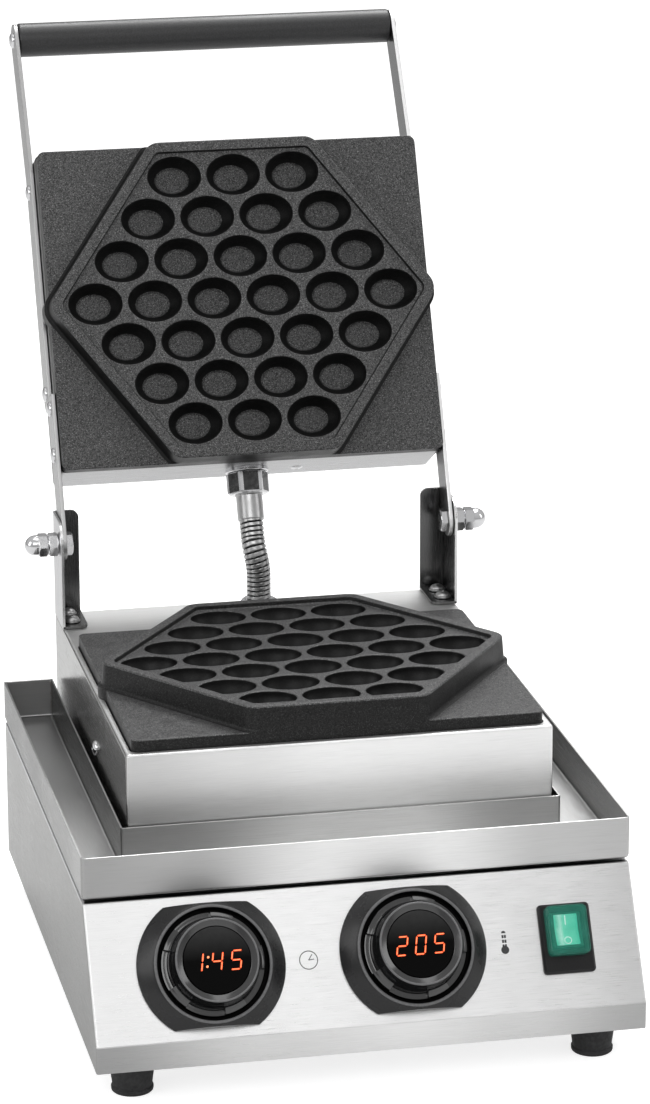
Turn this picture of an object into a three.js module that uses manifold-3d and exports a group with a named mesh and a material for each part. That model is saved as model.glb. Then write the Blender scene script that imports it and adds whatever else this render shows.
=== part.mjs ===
// Bubble waffle maker with its lid open. Millimetres, +Z up, the control panel faces -Y.
// Each piece is its own named mesh. The origin lies on the ground, under the middle of the whole box.
import * as THREE from "three";
import { mergeVertices } from "three/addons/utils/BufferGeometryUtils.js";
import Module from "manifold-3d";

const wasm = await Module();
wasm.setup();

const DEGREE = Math.PI / 180;

// Clearances and stock
const gap = 0.3; // between two pieces that touch
const overrun = 2; // how far a cut runs past the piece
const weld = 0.0001; // corners closer than this are one
const sheet = 1.2; // stainless sheet of body, tray and casing
const plate_sheet = 1.6; // stainless sheet of housing and brackets

// Body. Y is counted from the tray's front face, heights from the ground.
const body_width = 314;
const body_depth = 317;
const body_bottom = 22;
const body_top = 107.2;
const fold_height = 37.7;
const panel_slope = 30.5 * DEGREE; // leans back from upright
const bottom_slot_length = 40;
const bottom_slot_width = 4;
const bottom_slot_pitch = 12;
const bottom_slot_count = 6;
const side_gutter = 33; // from the body's side to the housing
const rear_deck = 66; // from the lower casting's back to the body's back

// Feet
const foot_bottom_radius = 12;
const foot_top_radius = 14.5;
const foot_hole_radius = 4.5;
const foot_hole_depth = 8;
const foot_side_inset = 24; // foot centre from the body's side
const foot_front_inset = 27; // foot centre from the body's lowest front edge
const foot_rear_inset = 27;

// Spill tray
const tray_overhang = 0.5; // tray beyond the body on each side
const tray_rear_gap = 3; // from the tray's back to the body's back
const tray_height = 24.9;
const tray_lift = 1.9; // shadow gap under the tray
const tray_dimple_radius = 6;
const tray_dimple_inset = 15;
const tray_play = 2.9; // between the tray's inner wall and the housing

// Lower housing
const deck_front_margin = 5.3; // deck in front of the casting
const deck_side_margin = 4.3; // deck beside the casting
const deck_height = 176;
const cable_opening_share = 0.9; // of the casting's length

// Castings. Their cups and the hexagon round them keep to their width and length.
const casting_corner = 4.5;
const flange_height = 10;
const flange_show = 6.8; // lower flange above the deck
const spigot_height = 6;
const spigot_inset = 5.7;
const hex_height = 14.8;
const hex_overhang = 3.7; // the hexagon's unrounded side corner beyond the flange
const hex_corner = 11;
const rim_band_share = 0.0375; // of the casting's length
const recess_depth = 2.9;
const recess_corner = 5;
const cup_rows = [3, 4, 5, 6, 5, 4, 3];
const cup_pitch_share = 0.155; // of the casting's width
const cup_row_share = 0.129; // of the casting's length
const cup_half_length_share = 0.4515; // of the pitch along a row
const cup_half_width_share = 0.498; // of the pitch between rows
const cup_depth = 12;
const cup_sides = 10;
const cup_mid_radius_share = 0.86;
const cup_mid_depth_share = 0.6;
const cup_floor_radius_share = 0.56;
const lower_casting_front = 51;
const closed_gap = 0.4; // between the rims of the closed plates

// Heaters, one behind each casting
const heater_tube_radius = 4;
const heater_loop_share = 0.34; // of the casting's length
const heater_leg_share = 0.08; // of the casting's length
const heater_loop_steps = 24;
const heater_open_angle = 24 * DEGREE;
const clamp_length_share = 0.85; // of the casting's length
const clamp_sheet = 2;
const clamp_hole_radius = 12;
const probe_radius = 3;
const probe_length = 60;

// Lid. Along the lid is measured from the hinge axis, out of the lid towards its baking face.
const lid_lean = 25.2 * DEGREE; // leans back from upright
const lid_face = 14.6; // flange face in front of the hinge axis
const lid_start = 43; // casing's lower wall from the hinge axis
const casing_back = 36; // casing's back behind the hinge axis

// Hinge and handle arms, flat bars
const bar_width = 20;
const bar_thickness = 2.5;
const hinge_arm_reach = 49; // beyond the casing's lower wall
const hinge_arm_cut_along = 13;
const hinge_arm_cut_across = 6.8;
const hinge_rivets_from_wall = [12, 41];
const handle_arm_reach = 51; // its lower end beyond the casing's lower wall
const handle_bend_drop = 9; // its bend below the casing's upper wall
const handle_arm_offset = 14; // behind the hinge axis
const handle_rivets_from_walls = [53, 19];
const handle_rise = 83.5; // above the casing's upper wall
const handle_offset = 30;
const handle_radius = 11;
const handle_bore_depth = 20;

// Small fasteners: a domed head, a shank and the hole that takes it
const rivet_head_radius = 4.75;
const rivet_head_height = 2.2;
const rivet_shank_radius = 2;
const rivet_length = 6;
const plate_screw_head_radius = 3.6;
const side_screw_length = 12;
const screw_washer_radius = 5.2;
const screw_washer_height = 1;

// Hinge bolts and brackets
const bolt_radius = 4;
const hex_nut_radius = 7.5;
const bolt_head_height = 5.3;
const nut_height = 6.1;
const cap_hex_height = 6;
const cap_dome_height = 8;
const bracket_front_reach = 12.9; // bracket's front edge before the hinge axis
const bracket_top_reach = 12.6; // bracket's top edge above the hinge axis
const bracket_corner = 12;
const bracket_flange = 16; // width of foot and rear flange
const bracket_flange_corner = 7;
const bracket_rear_inset = 0.6; // bracket's back from the deck's back edge
const bracket_screws_from_front = [10, 25];

// Conduit between base and lid
const conduit_radius = 7;
const conduit_groove = 0.7;
const conduit_bore = 4.6;
const conduit_rib_pitch = 3;
const conduit_points = 8;
const gland_offset = 17; // behind the hinge axis
const gland_hex_radius = 14.5;
const gland_hex_height = 16.7;
const gland_neck_radius = 9;
const gland_neck_length = 7;
const ferrule_radius = 8.25;
const ferrule_length = 13.6;
const conduit_shift = 2.6; // sideways, on its way down
const conduit_top_offsets = [
  [20.5, 3.7],
  [14.5, -9],
  [10.7, -17.1],
];
const conduit_foot_behind = 9.8; // behind the hinge axis
const conduit_foot_rises = [28.3, 19.3, 5.3]; // above the deck
const deck_gland_radius = 12;
const deck_gland_height = 5;

// Controls. On the panel, across is X and up is measured up the slope from the fold.
const knob_across_shares = [-0.2825, 0.0838]; // of the body's width
const knob_up = 40.5;
const bezel_radius = 41.6;
const bezel_flat = 34.7; // half of its height between the flats
const bezel_edge = 1.6; // height of its thin outer edge
const bezel_floor = 3.2; // height of its floor under the knob
const bezel_ring_radius = 33.4;
const bezel_ring_wall = 2;
const bezel_ring_height = 10;
const unit_radius = 24;
const unit_depth = 30;
const knob_radius = 29.2;
const knob_shoulder_height = 11;
const knob_shoulder_rise = 2.5; // from the shoulder's edge to the neck
const knob_neck_radius = 24.6;
const knob_height = 24.5;
const knob_face_radius = 22.8;
const notch_inner_radius = 25.6;
const notch_floor = 7.5;
const notch_angle = 23 * DEGREE; // half of a notch
const notch_turn = 39 * DEGREE; // from across to the first notch
const notch_count = 5;
const display_radius = 18.8;
const display_sink = 1.2; // display face below the knob's face
const switch_across_share = 0.3656; // of the body's width
const switch_up = 39.8;
const switch_width = 30.3;
const switch_length = 39.7;
const switch_height = 3;
const switch_corner = 2.5;
const switch_body_inset = 2.2;
const switch_body_depth = 26;
const window_width = 19;
const window_length = 21.5;
const window_rise = 4; // middle of the window above the frame's middle
const window_depth = 9;
const rocker_play = 0.6;
const rocker_rise = 1.6; // rocker above its frame where it is flat
const rocker_tilt = 5 * DEGREE;
const rocker_pin_depth = 3; // rocker's pivot below the frame's face
const rocker_sink_share = 0.75; // share of the window's depth that the rocker fills
const cover_width = 24;
const cover_length = 28.5;
const cover_height = 6;
const cover_wall = 1;
const cover_corner = 3.5;

// Inside and behind the body
const board_width = 110;
const board_length = 70;
const board_sheet = 1.6;
const board_post_height = 8;
const board_post_radius = 3;
const board_place_share = 0.44; // of the body's depth
const terminal_height = 14;
const terminal_width = 60;
const terminal_length = 18;
const cord_gland_share = -0.334; // of the body's width
const cord_gland_height = 55;
const cord_gland_radius = 8;
const cord_gland_hex_radius = 12.5;
const cord_gland_length = 14;
const cord_gland_bore = 4.4;
const cord_gland_hex_share = 0.5;

// Worked out
const slope_sin = Math.sin(panel_slope);
const slope_cos = Math.cos(panel_slope);
const fold_y = -(body_top - fold_height) * Math.tan(panel_slope);
const half_body = body_width / 2;
const tray_width = body_width + 2 * tray_overhang;
const tray_depth = body_depth - tray_rear_gap;
const housing_width = body_width - 2 * side_gutter;
const half_housing = housing_width / 2;
const housing_front = lower_casting_front - deck_front_margin;
const casting_width = housing_width - 2 * deck_side_margin;
const casting_length = body_depth - lower_casting_front - rear_deck;
const cable_opening = casting_length * cable_opening_share;
const rim_band = casting_length * rim_band_share;
const cup_pitch = casting_width * cup_pitch_share;
const cup_row_pitch = casting_length * cup_row_share;
const cup_half_length = cup_pitch * cup_half_length_share;
const cup_half_width = cup_row_pitch * cup_half_width_share;
const heater_loop_radius = casting_length * heater_loop_share;
const heater_leg = casting_length * heater_leg_share;
const clamp_length = casting_length * clamp_length_share;
const half_casting = casting_width / 2;
const casting_half_length = casting_length / 2;
const lower_rim = deck_height + flange_show + hex_height;
const casting_bottom = deck_height + flange_show - flange_height;
const lower_casting_y = lower_casting_front + casting_half_length;
const lid_rim = lid_face + hex_height;
const hinge_height = lower_rim + closed_gap + lid_rim;
const lid_centre = lid_start + casting_half_length;
const lid_end = lid_start + casting_length;
const hinge_arm_end = lid_start + hinge_arm_reach;
const hinge_rivets_along = hinge_rivets_from_wall.map((along) => lid_start + along);
const handle_arm_start = lid_start + handle_arm_reach;
const handle_arm_bend = lid_end - handle_bend_drop;
const handle_rivets_along = [
  lid_start + handle_rivets_from_walls[0],
  lid_end - handle_rivets_from_walls[1],
];
const handle_along = lid_end + handle_rise;
const hinge_y = lower_casting_y + lid_centre;
const lid_flange_back = lid_face - flange_height;
const arm_inner = half_casting + gap;
const arm_outer = arm_inner + bar_thickness;
const bracket_inner = arm_outer + gap;
const bracket_outer = bracket_inner + plate_sheet;
const bracket_front = hinge_y - bracket_front_reach;
const bracket_rear = body_depth - bracket_rear_inset;
const tray_bottom = body_top + tray_lift;
const knob_across = knob_across_shares.map((share) => body_width * share);
const switch_across = body_width * switch_across_share;
const cord_gland_across = body_width * cord_gland_share;
const board_y = body_depth * board_place_share;
const cup_floor_below_rim = recess_depth + cup_depth;

const X_AXIS = new THREE.Vector3(1, 0, 0);
const Y_AXIS = new THREE.Vector3(0, 1, 0);
const Z_AXIS = new THREE.Vector3(0, 0, 1);

// Turns what is drawn in XY and stands along Z: drawn in YZ and standing along X, or standing along Y.
const along_x = new THREE.Matrix4().makeBasis(Y_AXIS, Z_AXIS, X_AXIS);
const along_y = new THREE.Matrix4().makeBasis(Z_AXIS, X_AXIS, Y_AXIS);
const panel_frame = tilted_frame(fold_y, fold_height, panel_slope);
const lid_frame = tilted_frame(hinge_y, hinge_height, lid_lean);

// Colours and finishes
const steel = { color: 0xc8cacb, roughness: 0.34, metalness: 1 };
const bright_steel = { color: 0xd8dadc, roughness: 0.2, metalness: 1 };
const coating = { color: 0x2c2d2f, roughness: 0.6, metalness: 0.3 };
const black_plastic = { color: 0x1d1e20, roughness: 0.4, metalness: 0 };
const grip = { color: 0x27282a, roughness: 0.55, metalness: 0 };
const rubber = { color: 0x151516, roughness: 0.8, metalness: 0 };
const display_glass = { color: 0x060607, roughness: 0.12, metalness: 0 };
const green = { color: 0x1f9a7c, roughness: 0.25, metalness: 0 };
const heater_steel = { color: 0x77726c, roughness: 0.5, metalness: 1 };
const board_green = { color: 0x23503a, roughness: 0.6, metalness: 0 };

// A frame whose Y runs up a slope that leans back from upright, and whose Z looks out of it.
function tilted_frame(y, z, lean) {
  const turn = new THREE.Matrix4().makeRotationX(Math.PI / 2 - lean);
  return new THREE.Matrix4().makeTranslation(0, y, z).multiply(turn);
}

// A closed solid from a three.js geometry, moved by a matrix.
function solid(geometry, matrix) {
  const bare = geometry.index ? geometry.toNonIndexed() : geometry.clone();
  bare.deleteAttribute("normal");
  bare.deleteAttribute("uv");
  if (matrix) bare.applyMatrix4(matrix);
  const merged = mergeVertices(bare, weld);
  const corners = merged.index.array;
  const faces = [];
  for (let i = 0; i < corners.length; i += 3) {
    const [a, b, c] = [corners[i], corners[i + 1], corners[i + 2]];
    if (a !== b && b !== c && c !== a) faces.push(a, b, c);
  }
  const vertProperties = merged.attributes.position.array;
  const triVerts = new Uint32Array(faces);
  return new wasm.Manifold(new wasm.Mesh({ numProp: 3, vertProperties, triVerts }));
}

function join(first, ...others) {
  return others.reduce((sum, other) => sum.add(other), first);
}

function cut(first, ...tools) {
  return tools.reduce((rest, tool) => rest.subtract(tool), first);
}

function at(x, y, z) {
  return new THREE.Matrix4().makeTranslation(x, y, z);
}

// A box between two corners.
function brick(x0, x1, y0, y1, z0, z1, frame) {
  const box = new THREE.BoxGeometry(x1 - x0, y1 - y0, z1 - z0);
  box.translate((x0 + x1) / 2, (y0 + y1) / 2, (z0 + z1) / 2);
  return solid(box, frame);
}

// A flat outline drawn in XY, from one height to another.
function prism(shape, z0, z1, frame, segments = 2) {
  const options = { depth: z1 - z0, bevelEnabled: false, curveSegments: segments };
  const body = new THREE.ExtrudeGeometry(shape, options);
  body.translate(0, 0, z0);
  return solid(body, frame);
}

// A turned piece: its half section, as radius and height pairs, spun round Z.
function turned(section, sides, frame) {
  const points = section.map(([radius, height]) => new THREE.Vector2(radius, height));
  const spun = new THREE.LatheGeometry(points, sides);
  spun.rotateX(Math.PI / 2);
  return solid(spun, frame);
}

function rod(radius, z0, z1, sides, frame) {
  const section = [
    [0, z0],
    [radius, z0],
    [radius, z1],
    [0, z1],
  ];
  return turned(section, sides, frame);
}

// A rectangle with rounded corners, round a centre.
function rounded_rectangle(x, y, width, length, corner) {
  const outline = [
    [x - width / 2, y - length / 2],
    [x + width / 2, y - length / 2],
    [x + width / 2, y + length / 2],
    [x - width / 2, y + length / 2],
  ];
  return rounded_outline(outline, outline.map(() => corner));
}

// An outline of straight sides whose corners are rounded by the radii given.
function rounded_outline(outline, radii) {
  const shape = new THREE.Shape();
  outline.forEach((corner, i) => {
    const here = new THREE.Vector2(...corner);
    const last = new THREE.Vector2(...outline.at(i - 1));
    const next = new THREE.Vector2(...outline[(i + 1) % outline.length]);
    const to_last = last.sub(here).normalize();
    const to_next = next.sub(here).normalize();
    const half_angle = Math.acos(to_last.dot(to_next)) / 2;
    const reach = radii[i] / Math.tan(half_angle);
    const start = here.clone().addScaledVector(to_last, reach);
    const end = here.clone().addScaledVector(to_next, reach);
    if (i === 0) shape.moveTo(start.x, start.y);
    else shape.lineTo(start.x, start.y);
    if (radii[i] > 0) {
      const middle = to_last.clone().add(to_next).normalize();
      const centre = here.clone().addScaledVector(middle, radii[i] / Math.sin(half_angle));
      const from = start.clone().sub(centre).angle();
      const to = end.clone().sub(centre).angle();
      const clockwise = to_last.cross(to_next) > 0;
      shape.absarc(centre.x, centre.y, radii[i], from, to, clockwise);
    }
  });
  shape.closePath();
  return shape;
}

// A bar with round ends between two points.
function round_ended_bar(from, to, width) {
  const start = new THREE.Vector2(...from);
  const end = new THREE.Vector2(...to);
  const heading = end.clone().sub(start).angle();
  const quarter = Math.PI / 2;
  const shape = new THREE.Shape();
  shape.absarc(end.x, end.y, width / 2, heading - quarter, heading + quarter, false);
  shape.absarc(start.x, start.y, width / 2, heading + quarter, heading + 3 * quarter, false);
  shape.closePath();
  return shape;
}

// Turns a piece that stands along Z to look out of the side given, +1 right or -1 left.
function outward(side, x, y, z) {
  const turn = side > 0 ? 0 : Math.PI;
  return at(side * x, y, z).multiply(new THREE.Matrix4().makeRotationZ(turn)).multiply(along_x);
}

// The half section of a low dome, from its edge to its top.
function dome(radius, base, height) {
  const steps = 2;
  const section = [];
  for (let k = 0; k <= steps; k++) {
    const angle = ((Math.PI / 2) * k) / steps;
    section.push([radius * Math.cos(angle), base + height * Math.sin(angle)]);
  }
  section[steps][0] = 0;
  return section;
}

// A domed screw or rivet whose head sits on height 0 and whose shank runs down.
function domed_fastener(head_radius, head_height, shank_radius, shank_length, frame) {
  const section = [[0, -shank_length], [shank_radius, -shank_length], [shank_radius, gap]];
  section.push(...dome(head_radius, gap, head_height));
  return turned(section, 10, frame);
}

// The hexagon of the casting: two edges across, four slanted edges along the rows of cups.
function hexagon(inset, corner) {
  const slant = Math.atan2(cup_pitch / 2, cup_row_pitch);
  const reach = (half_casting + hex_overhang) * Math.cos(slant) - inset;
  const top = casting_half_length - inset;
  const side_x = reach / Math.cos(slant);
  const top_x = (reach - top * Math.sin(slant)) / Math.cos(slant);
  const outline = [
    [-top_x, -top],
    [top_x, -top],
    [side_x, 0],
    [top_x, top],
    [-top_x, top],
    [-side_x, 0],
  ];
  return rounded_outline(outline, outline.map(() => corner));
}

// One oval cup, as the space it takes out of the casting.
function cup_space(x, y, rim) {
  const top = rim - recess_depth;
  const mid = top - cup_depth * cup_mid_depth_share;
  const floor = rim - cup_floor_below_rim;
  const section = [
    [0, floor],
    [cup_half_length * cup_floor_radius_share, floor],
    [cup_half_length * cup_mid_radius_share, mid],
    [cup_half_length, top],
    [cup_half_length, top + overrun],
    [0, top + overrun],
  ];
  const squeeze = new THREE.Matrix4().makeScale(1, cup_half_width / cup_half_length, 1);
  return turned(section, cup_sides, at(x, y, 0).multiply(squeeze));
}

// The aluminium casting, baking face up, its flange's underside at height 0, centred on its cups.
function casting() {
  const flange = rounded_rectangle(0, 0, casting_width, casting_length, casting_corner);
  const spigot_width = casting_width - 2 * spigot_inset;
  const spigot_length = casting_length - 2 * spigot_inset;
  const spigot = rounded_rectangle(0, 0, spigot_width, spigot_length, casting_corner);
  const rim = flange_height + hex_height;
  let body = join(
    prism(flange, 0, flange_height),
    prism(spigot, -spigot_height, gap),
    prism(hexagon(0, hex_corner), flange_height - gap, rim),
  );
  body = cut(body, prism(hexagon(rim_band, recess_corner), rim - recess_depth, rim + overrun));
  cup_rows.forEach((count, row) => {
    const y = (row - (cup_rows.length - 1) / 2) * cup_row_pitch;
    for (let k = 0; k < count; k++) {
      body = cut(body, cup_space((k - (count - 1) / 2) * cup_pitch, y, rim));
    }
  });
  for (const side of [-1, 1]) {
    const hole = rod(rivet_shank_radius + gap, -side_screw_length, overrun, 12, side_screw_frame(side));
    body = cut(body, hole);
  }
  return body;
}

// Where the side screw enters a casting, in the casting's own frame.
function side_screw_frame(side) {
  return outward(side, half_casting, 0, -(lid_face - flange_height));
}

// The bent heating tube behind a casting, its two ends side by side.
function heater() {
  const points = [];
  const height = -spigot_height - gap - heater_tube_radius;
  const span = 2 * Math.PI - 2 * heater_open_angle;
  const leg = (angle, reach) =>
    new THREE.Vector3(reach * Math.sin(angle), reach * Math.cos(angle), height);
  points.push(leg(heater_open_angle, heater_loop_radius + heater_leg));
  for (let k = 0; k <= heater_loop_steps; k++) {
    points.push(leg(heater_open_angle + (span * k) / heater_loop_steps, heater_loop_radius));
  }
  points.push(leg(-heater_open_angle, heater_loop_radius + heater_leg));
  const path = new THREE.CatmullRomCurve3(points, false, "centripetal");
  const section = new THREE.Shape();
  section.absarc(0, 0, heater_tube_radius, 0, 2 * Math.PI, false);
  const options = { extrudePath: path, steps: heater_loop_steps, curveSegments: 4 };
  return solid(new THREE.ExtrudeGeometry(section, options));
}

// The flat plate that presses the heater against the casting.
function clamp_plate() {
  const top = -spigot_height - 2 * gap - 2 * heater_tube_radius;
  const outline = rounded_rectangle(0, 0, clamp_length, clamp_length, casting_corner);
  const plate = prism(outline, top - clamp_sheet, top);
  return cut(plate, rod(clamp_hole_radius, top - clamp_sheet - overrun, top + overrun, 16));
}

// The side outline of the body. The front faces, the back, the top and the bottom move in by what is given.
function body_outline(front, rear, top, bottom) {
  const front_y = fold_y + front;
  const corner_z = fold_height - (front * (1 - slope_cos)) / slope_sin;
  const high = body_top - top;
  const top_y = fold_y + (front + (high - fold_height) * slope_sin) / slope_cos;
  const outline = [
    [front_y, body_bottom + bottom],
    [body_depth - rear, body_bottom + bottom],
    [body_depth - rear, high],
    [top_y, high],
    [front_y, corner_z],
  ];
  return rounded_outline(outline, outline.map(() => 0));
}

// Sides, back and top, folded from one sheet. Front and underside are open.
function base_shell() {
  const start = sheet + gap;
  const outer = prism(body_outline(start, 0, 0, 0), -half_body, half_body, along_x);
  const inner_half = half_body - sheet;
  const inner_outline = body_outline(start - overrun, sheet, sheet, -overrun);
  const hollow = prism(inner_outline, -inner_half, inner_half, along_x);
  const cable_way = rounded_rectangle(0, lower_casting_y, cable_opening, cable_opening, casting_corner);
  const gland_frame = at(cord_gland_across, body_depth, cord_gland_height).multiply(along_y);
  return cut(
    outer,
    hollow,
    prism(cable_way, body_top - sheet - overrun, body_top + overrun),
    rod(cord_gland_radius + gap, -sheet - overrun, overrun, 12, gland_frame),
  );
}

// The folded front: an upright strip below, the sloped control panel above, with its three holes.
function front_panel() {
  const outer = prism(body_outline(0, 0, 0, 0), -half_body, half_body, along_x);
  const behind = prism(body_outline(sheet, -overrun, 0, -overrun), -body_width, body_width, along_x);
  const above = brick(-body_width, body_width, fold_y - overrun, body_depth + overrun,
    body_top - gap, body_top + overrun);
  const hole_depth = sheet + overrun;
  let panel = cut(outer, behind, above);
  for (const across of knob_across) {
    const frame = panel_frame.clone().multiply(at(across, knob_up, 0));
    panel = cut(panel, rod(unit_radius + gap, -hole_depth, overrun, 24, frame));
  }
  const half_width = switch_width / 2 - switch_body_inset + gap;
  const half_length = switch_length / 2 - switch_body_inset + gap;
  return cut(panel, brick(switch_across - half_width, switch_across + half_width,
    switch_up - half_length, switch_up + half_length, -hole_depth, overrun, panel_frame));
}

// The flat underside with its air slots, between the shell's walls.
function bottom_plate() {
  const half = half_body - sheet - gap;
  const front = fold_y + sheet + gap;
  const rear = body_depth - sheet - gap;
  const middle = (front + rear) / 2;
  let plate = brick(-half, half, front, rear, body_bottom, body_bottom + sheet);
  for (let k = 0; k < bottom_slot_count; k++) {
    const y = middle + (k - (bottom_slot_count - 1) / 2) * bottom_slot_pitch;
    const slot = rounded_rectangle(0, y, bottom_slot_length, bottom_slot_width, bottom_slot_width / 2 - weld);
    plate = cut(plate, prism(slot, body_bottom - overrun, body_bottom + sheet + overrun));
  }
  return plate;
}

// A rubber foot, a little wider at its top, with the hole of its screw in the sole.
function foot() {
  const top = body_bottom - gap;
  const section = [
    [0, foot_hole_depth],
    [foot_hole_radius, foot_hole_depth],
    [foot_hole_radius, 0],
    [foot_bottom_radius, 0],
    [foot_top_radius, top],
    [0, top],
  ];
  return turned(section, 20);
}

// The U of the tray's floor plan, moved in by a wall.
function tray_plan(wall) {
  const half = tray_width / 2 - wall;
  const inner = half_housing + tray_play - wall;
  const inner_front = housing_front - tray_play + sheet - wall;
  const front = wall;
  const rear = tray_depth - wall;
  const outline = [
    [-half, front],
    [half, front],
    [half, rear],
    [inner + 2 * wall, rear],
    [inner + 2 * wall, inner_front],
    [-inner - 2 * wall, inner_front],
    [-inner - 2 * wall, rear],
    [-half, rear],
  ];
  return rounded_outline(outline, outline.map(() => 0));
}

// The tray: outer and inner walls of one height round a U-shaped gutter, on pressed dimples.
function spill_tray() {
  const top = tray_bottom + tray_height;
  const hollow = prism(tray_plan(sheet), tray_bottom + sheet, top + overrun);
  let tray = cut(prism(tray_plan(0), tray_bottom, top), hollow);
  const half = tray_width / 2 - tray_dimple_inset;
  for (const x of [-half, half]) {
    for (const y of [tray_dimple_inset, tray_depth - tray_dimple_inset]) {
      const dimple = rod(tray_dimple_radius, body_top + gap, tray_bottom + gap, 12, at(x, y, 0));
      tray = join(tray, dimple);
    }
  }
  return tray;
}

// The plan of the deck's opening for the casting, wider or narrower by a margin.
function seat_plan(margin) {
  const width = casting_width + 2 * margin;
  const length = casting_length + 2 * margin;
  return rounded_rectangle(0, lower_casting_y, width, length, casting_corner + Math.max(margin, 0));
}

// The housing: four walls and a deck whose opening is pressed down into a ledge for the casting.
function lower_housing() {
  const bottom = body_top + gap;
  const outer = brick(-half_housing, half_housing, housing_front, body_depth, bottom, deck_height);
  const inner_half = half_housing - plate_sheet;
  const hollow = brick(-inner_half, inner_half, housing_front + plate_sheet, body_depth - plate_sheet,
    bottom - overrun, deck_height - plate_sheet);
  const ledge_top = casting_bottom - gap;
  const ledge_bottom = ledge_top - plate_sheet;
  let housing = join(cut(outer, hollow), prism(seat_plan(gap + plate_sheet), ledge_bottom, deck_height));
  housing = cut(
    housing,
    prism(seat_plan(gap), ledge_top, deck_height + overrun),
    prism(seat_plan(gap - spigot_inset), ledge_bottom - overrun, deck_height),
  );
  const conduit_hole = at(conduit_route.at(-1).x, conduit_route.at(-1).y, deck_height);
  housing = cut(housing, rod(gland_neck_radius + gap, -plate_sheet - overrun, overrun, 16, conduit_hole));
  for (const place of bracket_screw_places()) {
    const frame = at(place.x, place.y, deck_height);
    housing = cut(housing, rod(rivet_shank_radius + gap, -plate_sheet - overrun, overrun, 8, frame));
  }
  return housing;
}

// The conduit's route: straight out of the lid's ferrule, a bend between two handles,
// straight into the deck's gland.
const conduit_route = [
  ...conduit_top_offsets.map(
    ([behind, above]) => new THREE.Vector3(0, hinge_y + behind, hinge_height + above),
  ),
  ...conduit_foot_rises.map(
    (rise) => new THREE.Vector3(conduit_shift, hinge_y + conduit_foot_behind, deck_height + rise),
  ),
];

function conduit_path() {
  const path = new THREE.CurvePath();
  const [start, bend_start, first_handle, second_handle, bend_end, end] = conduit_route;
  path.add(new THREE.LineCurve3(start, bend_start));
  path.add(new THREE.CubicBezierCurve3(bend_start, first_handle, second_handle, bend_end));
  path.add(new THREE.LineCurve3(bend_end, end));
  return path;
}

function bracket_screw_places() {
  const x = bracket_outer - plate_sheet - screw_washer_radius - gap;
  const places = [];
  for (const side of [-1, 1]) {
    for (const y of bracket_screws_from_front) {
      places.push({ side, x: side * x, y: bracket_front + y });
    }
  }
  return places;
}

// A hinge bracket bent from sheet: side plate, foot on the deck and rear flange.
function hinge_bracket(side) {
  const low = deck_height + gap;
  const high = hinge_height + bracket_top_reach;
  const side_outline = rounded_outline(
    [
      [bracket_front, low],
      [bracket_rear, low],
      [bracket_rear, high],
      [bracket_front, high],
    ],
    [0, 0, 0, bracket_corner],
  );
  const side_low = side > 0 ? bracket_inner : -bracket_outer;
  const side_plate = prism(side_outline, side_low, side_low + plate_sheet, along_x);
  const tip = side * (bracket_outer - bracket_flange);
  const edge = side * (bracket_outer - plate_sheet / 2);
  const foot_outline = rounded_outline(
    [
      [edge, bracket_front],
      [edge, bracket_rear],
      [tip, bracket_rear],
      [tip, bracket_front],
    ],
    [0, 0, 0, bracket_flange_corner],
  );
  const flange_outline = rounded_outline(
    [
      [low, edge],
      [high, edge],
      [high, tip],
      [low, tip],
    ],
    [0, 0, bracket_flange_corner, 0],
  );
  let bracket = join(
    side_plate,
    prism(foot_outline, low, low + plate_sheet),
    prism(flange_outline, bracket_rear - plate_sheet, bracket_rear, along_y),
  );
  bracket = cut(bracket, rod(bolt_radius + gap, -overrun, plate_sheet + overrun, 16,
    outward(side, bracket_inner, hinge_y, hinge_height)));
  for (const place of bracket_screw_places().filter((each) => each.side === side)) {
    bracket = cut(bracket, rod(rivet_shank_radius + gap, -overrun, plate_sheet + overrun, 8,
      at(place.x, place.y, low)));
  }
  return bracket;
}

// A foot screw of a bracket: washer and domed head in one, its shank through foot and deck.
function bracket_screw() {
  const section = [
    [0, -rivet_length],
    [rivet_shank_radius, -rivet_length],
    [rivet_shank_radius, gap],
    [screw_washer_radius, gap],
    [screw_washer_radius, gap + screw_washer_height],
  ];
  section.push(...dome(rivet_head_radius, gap + screw_washer_height, rivet_head_height + screw_washer_height));
  return turned(section, 10);
}

// The hinge bolt: hexagon head inside the arm, shank out through arm, bracket and nuts, head seated at 0.
function hinge_bolt() {
  const reach = bar_thickness + plate_sheet + nut_height + cap_hex_height + 4 * gap;
  return join(
    rod(hex_nut_radius, -bolt_head_height - gap, -gap, 6),
    rod(bolt_radius, -bolt_head_height, reach, 16),
  );
}

function hinge_nut() {
  return cut(
    rod(hex_nut_radius, gap, gap + nut_height, 6),
    rod(bolt_radius + gap, -overrun, nut_height + overrun, 16),
  );
}

// The cap nut: hexagon below, dome above, with a blind hole.
function cap_nut() {
  const dome_radius = hex_nut_radius * Math.cos(Math.PI / 6);
  const section = [[0, cap_hex_height - gap], ...dome(dome_radius, cap_hex_height, cap_dome_height)];
  section.splice(1, 0, [dome_radius, cap_hex_height - gap]);
  return cut(
    join(rod(hex_nut_radius, 0, cap_hex_height, 6), turned(section, 16)),
    rod(bolt_radius + gap, -overrun, cap_hex_height + 2 * gap, 16),
  );
}

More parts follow.
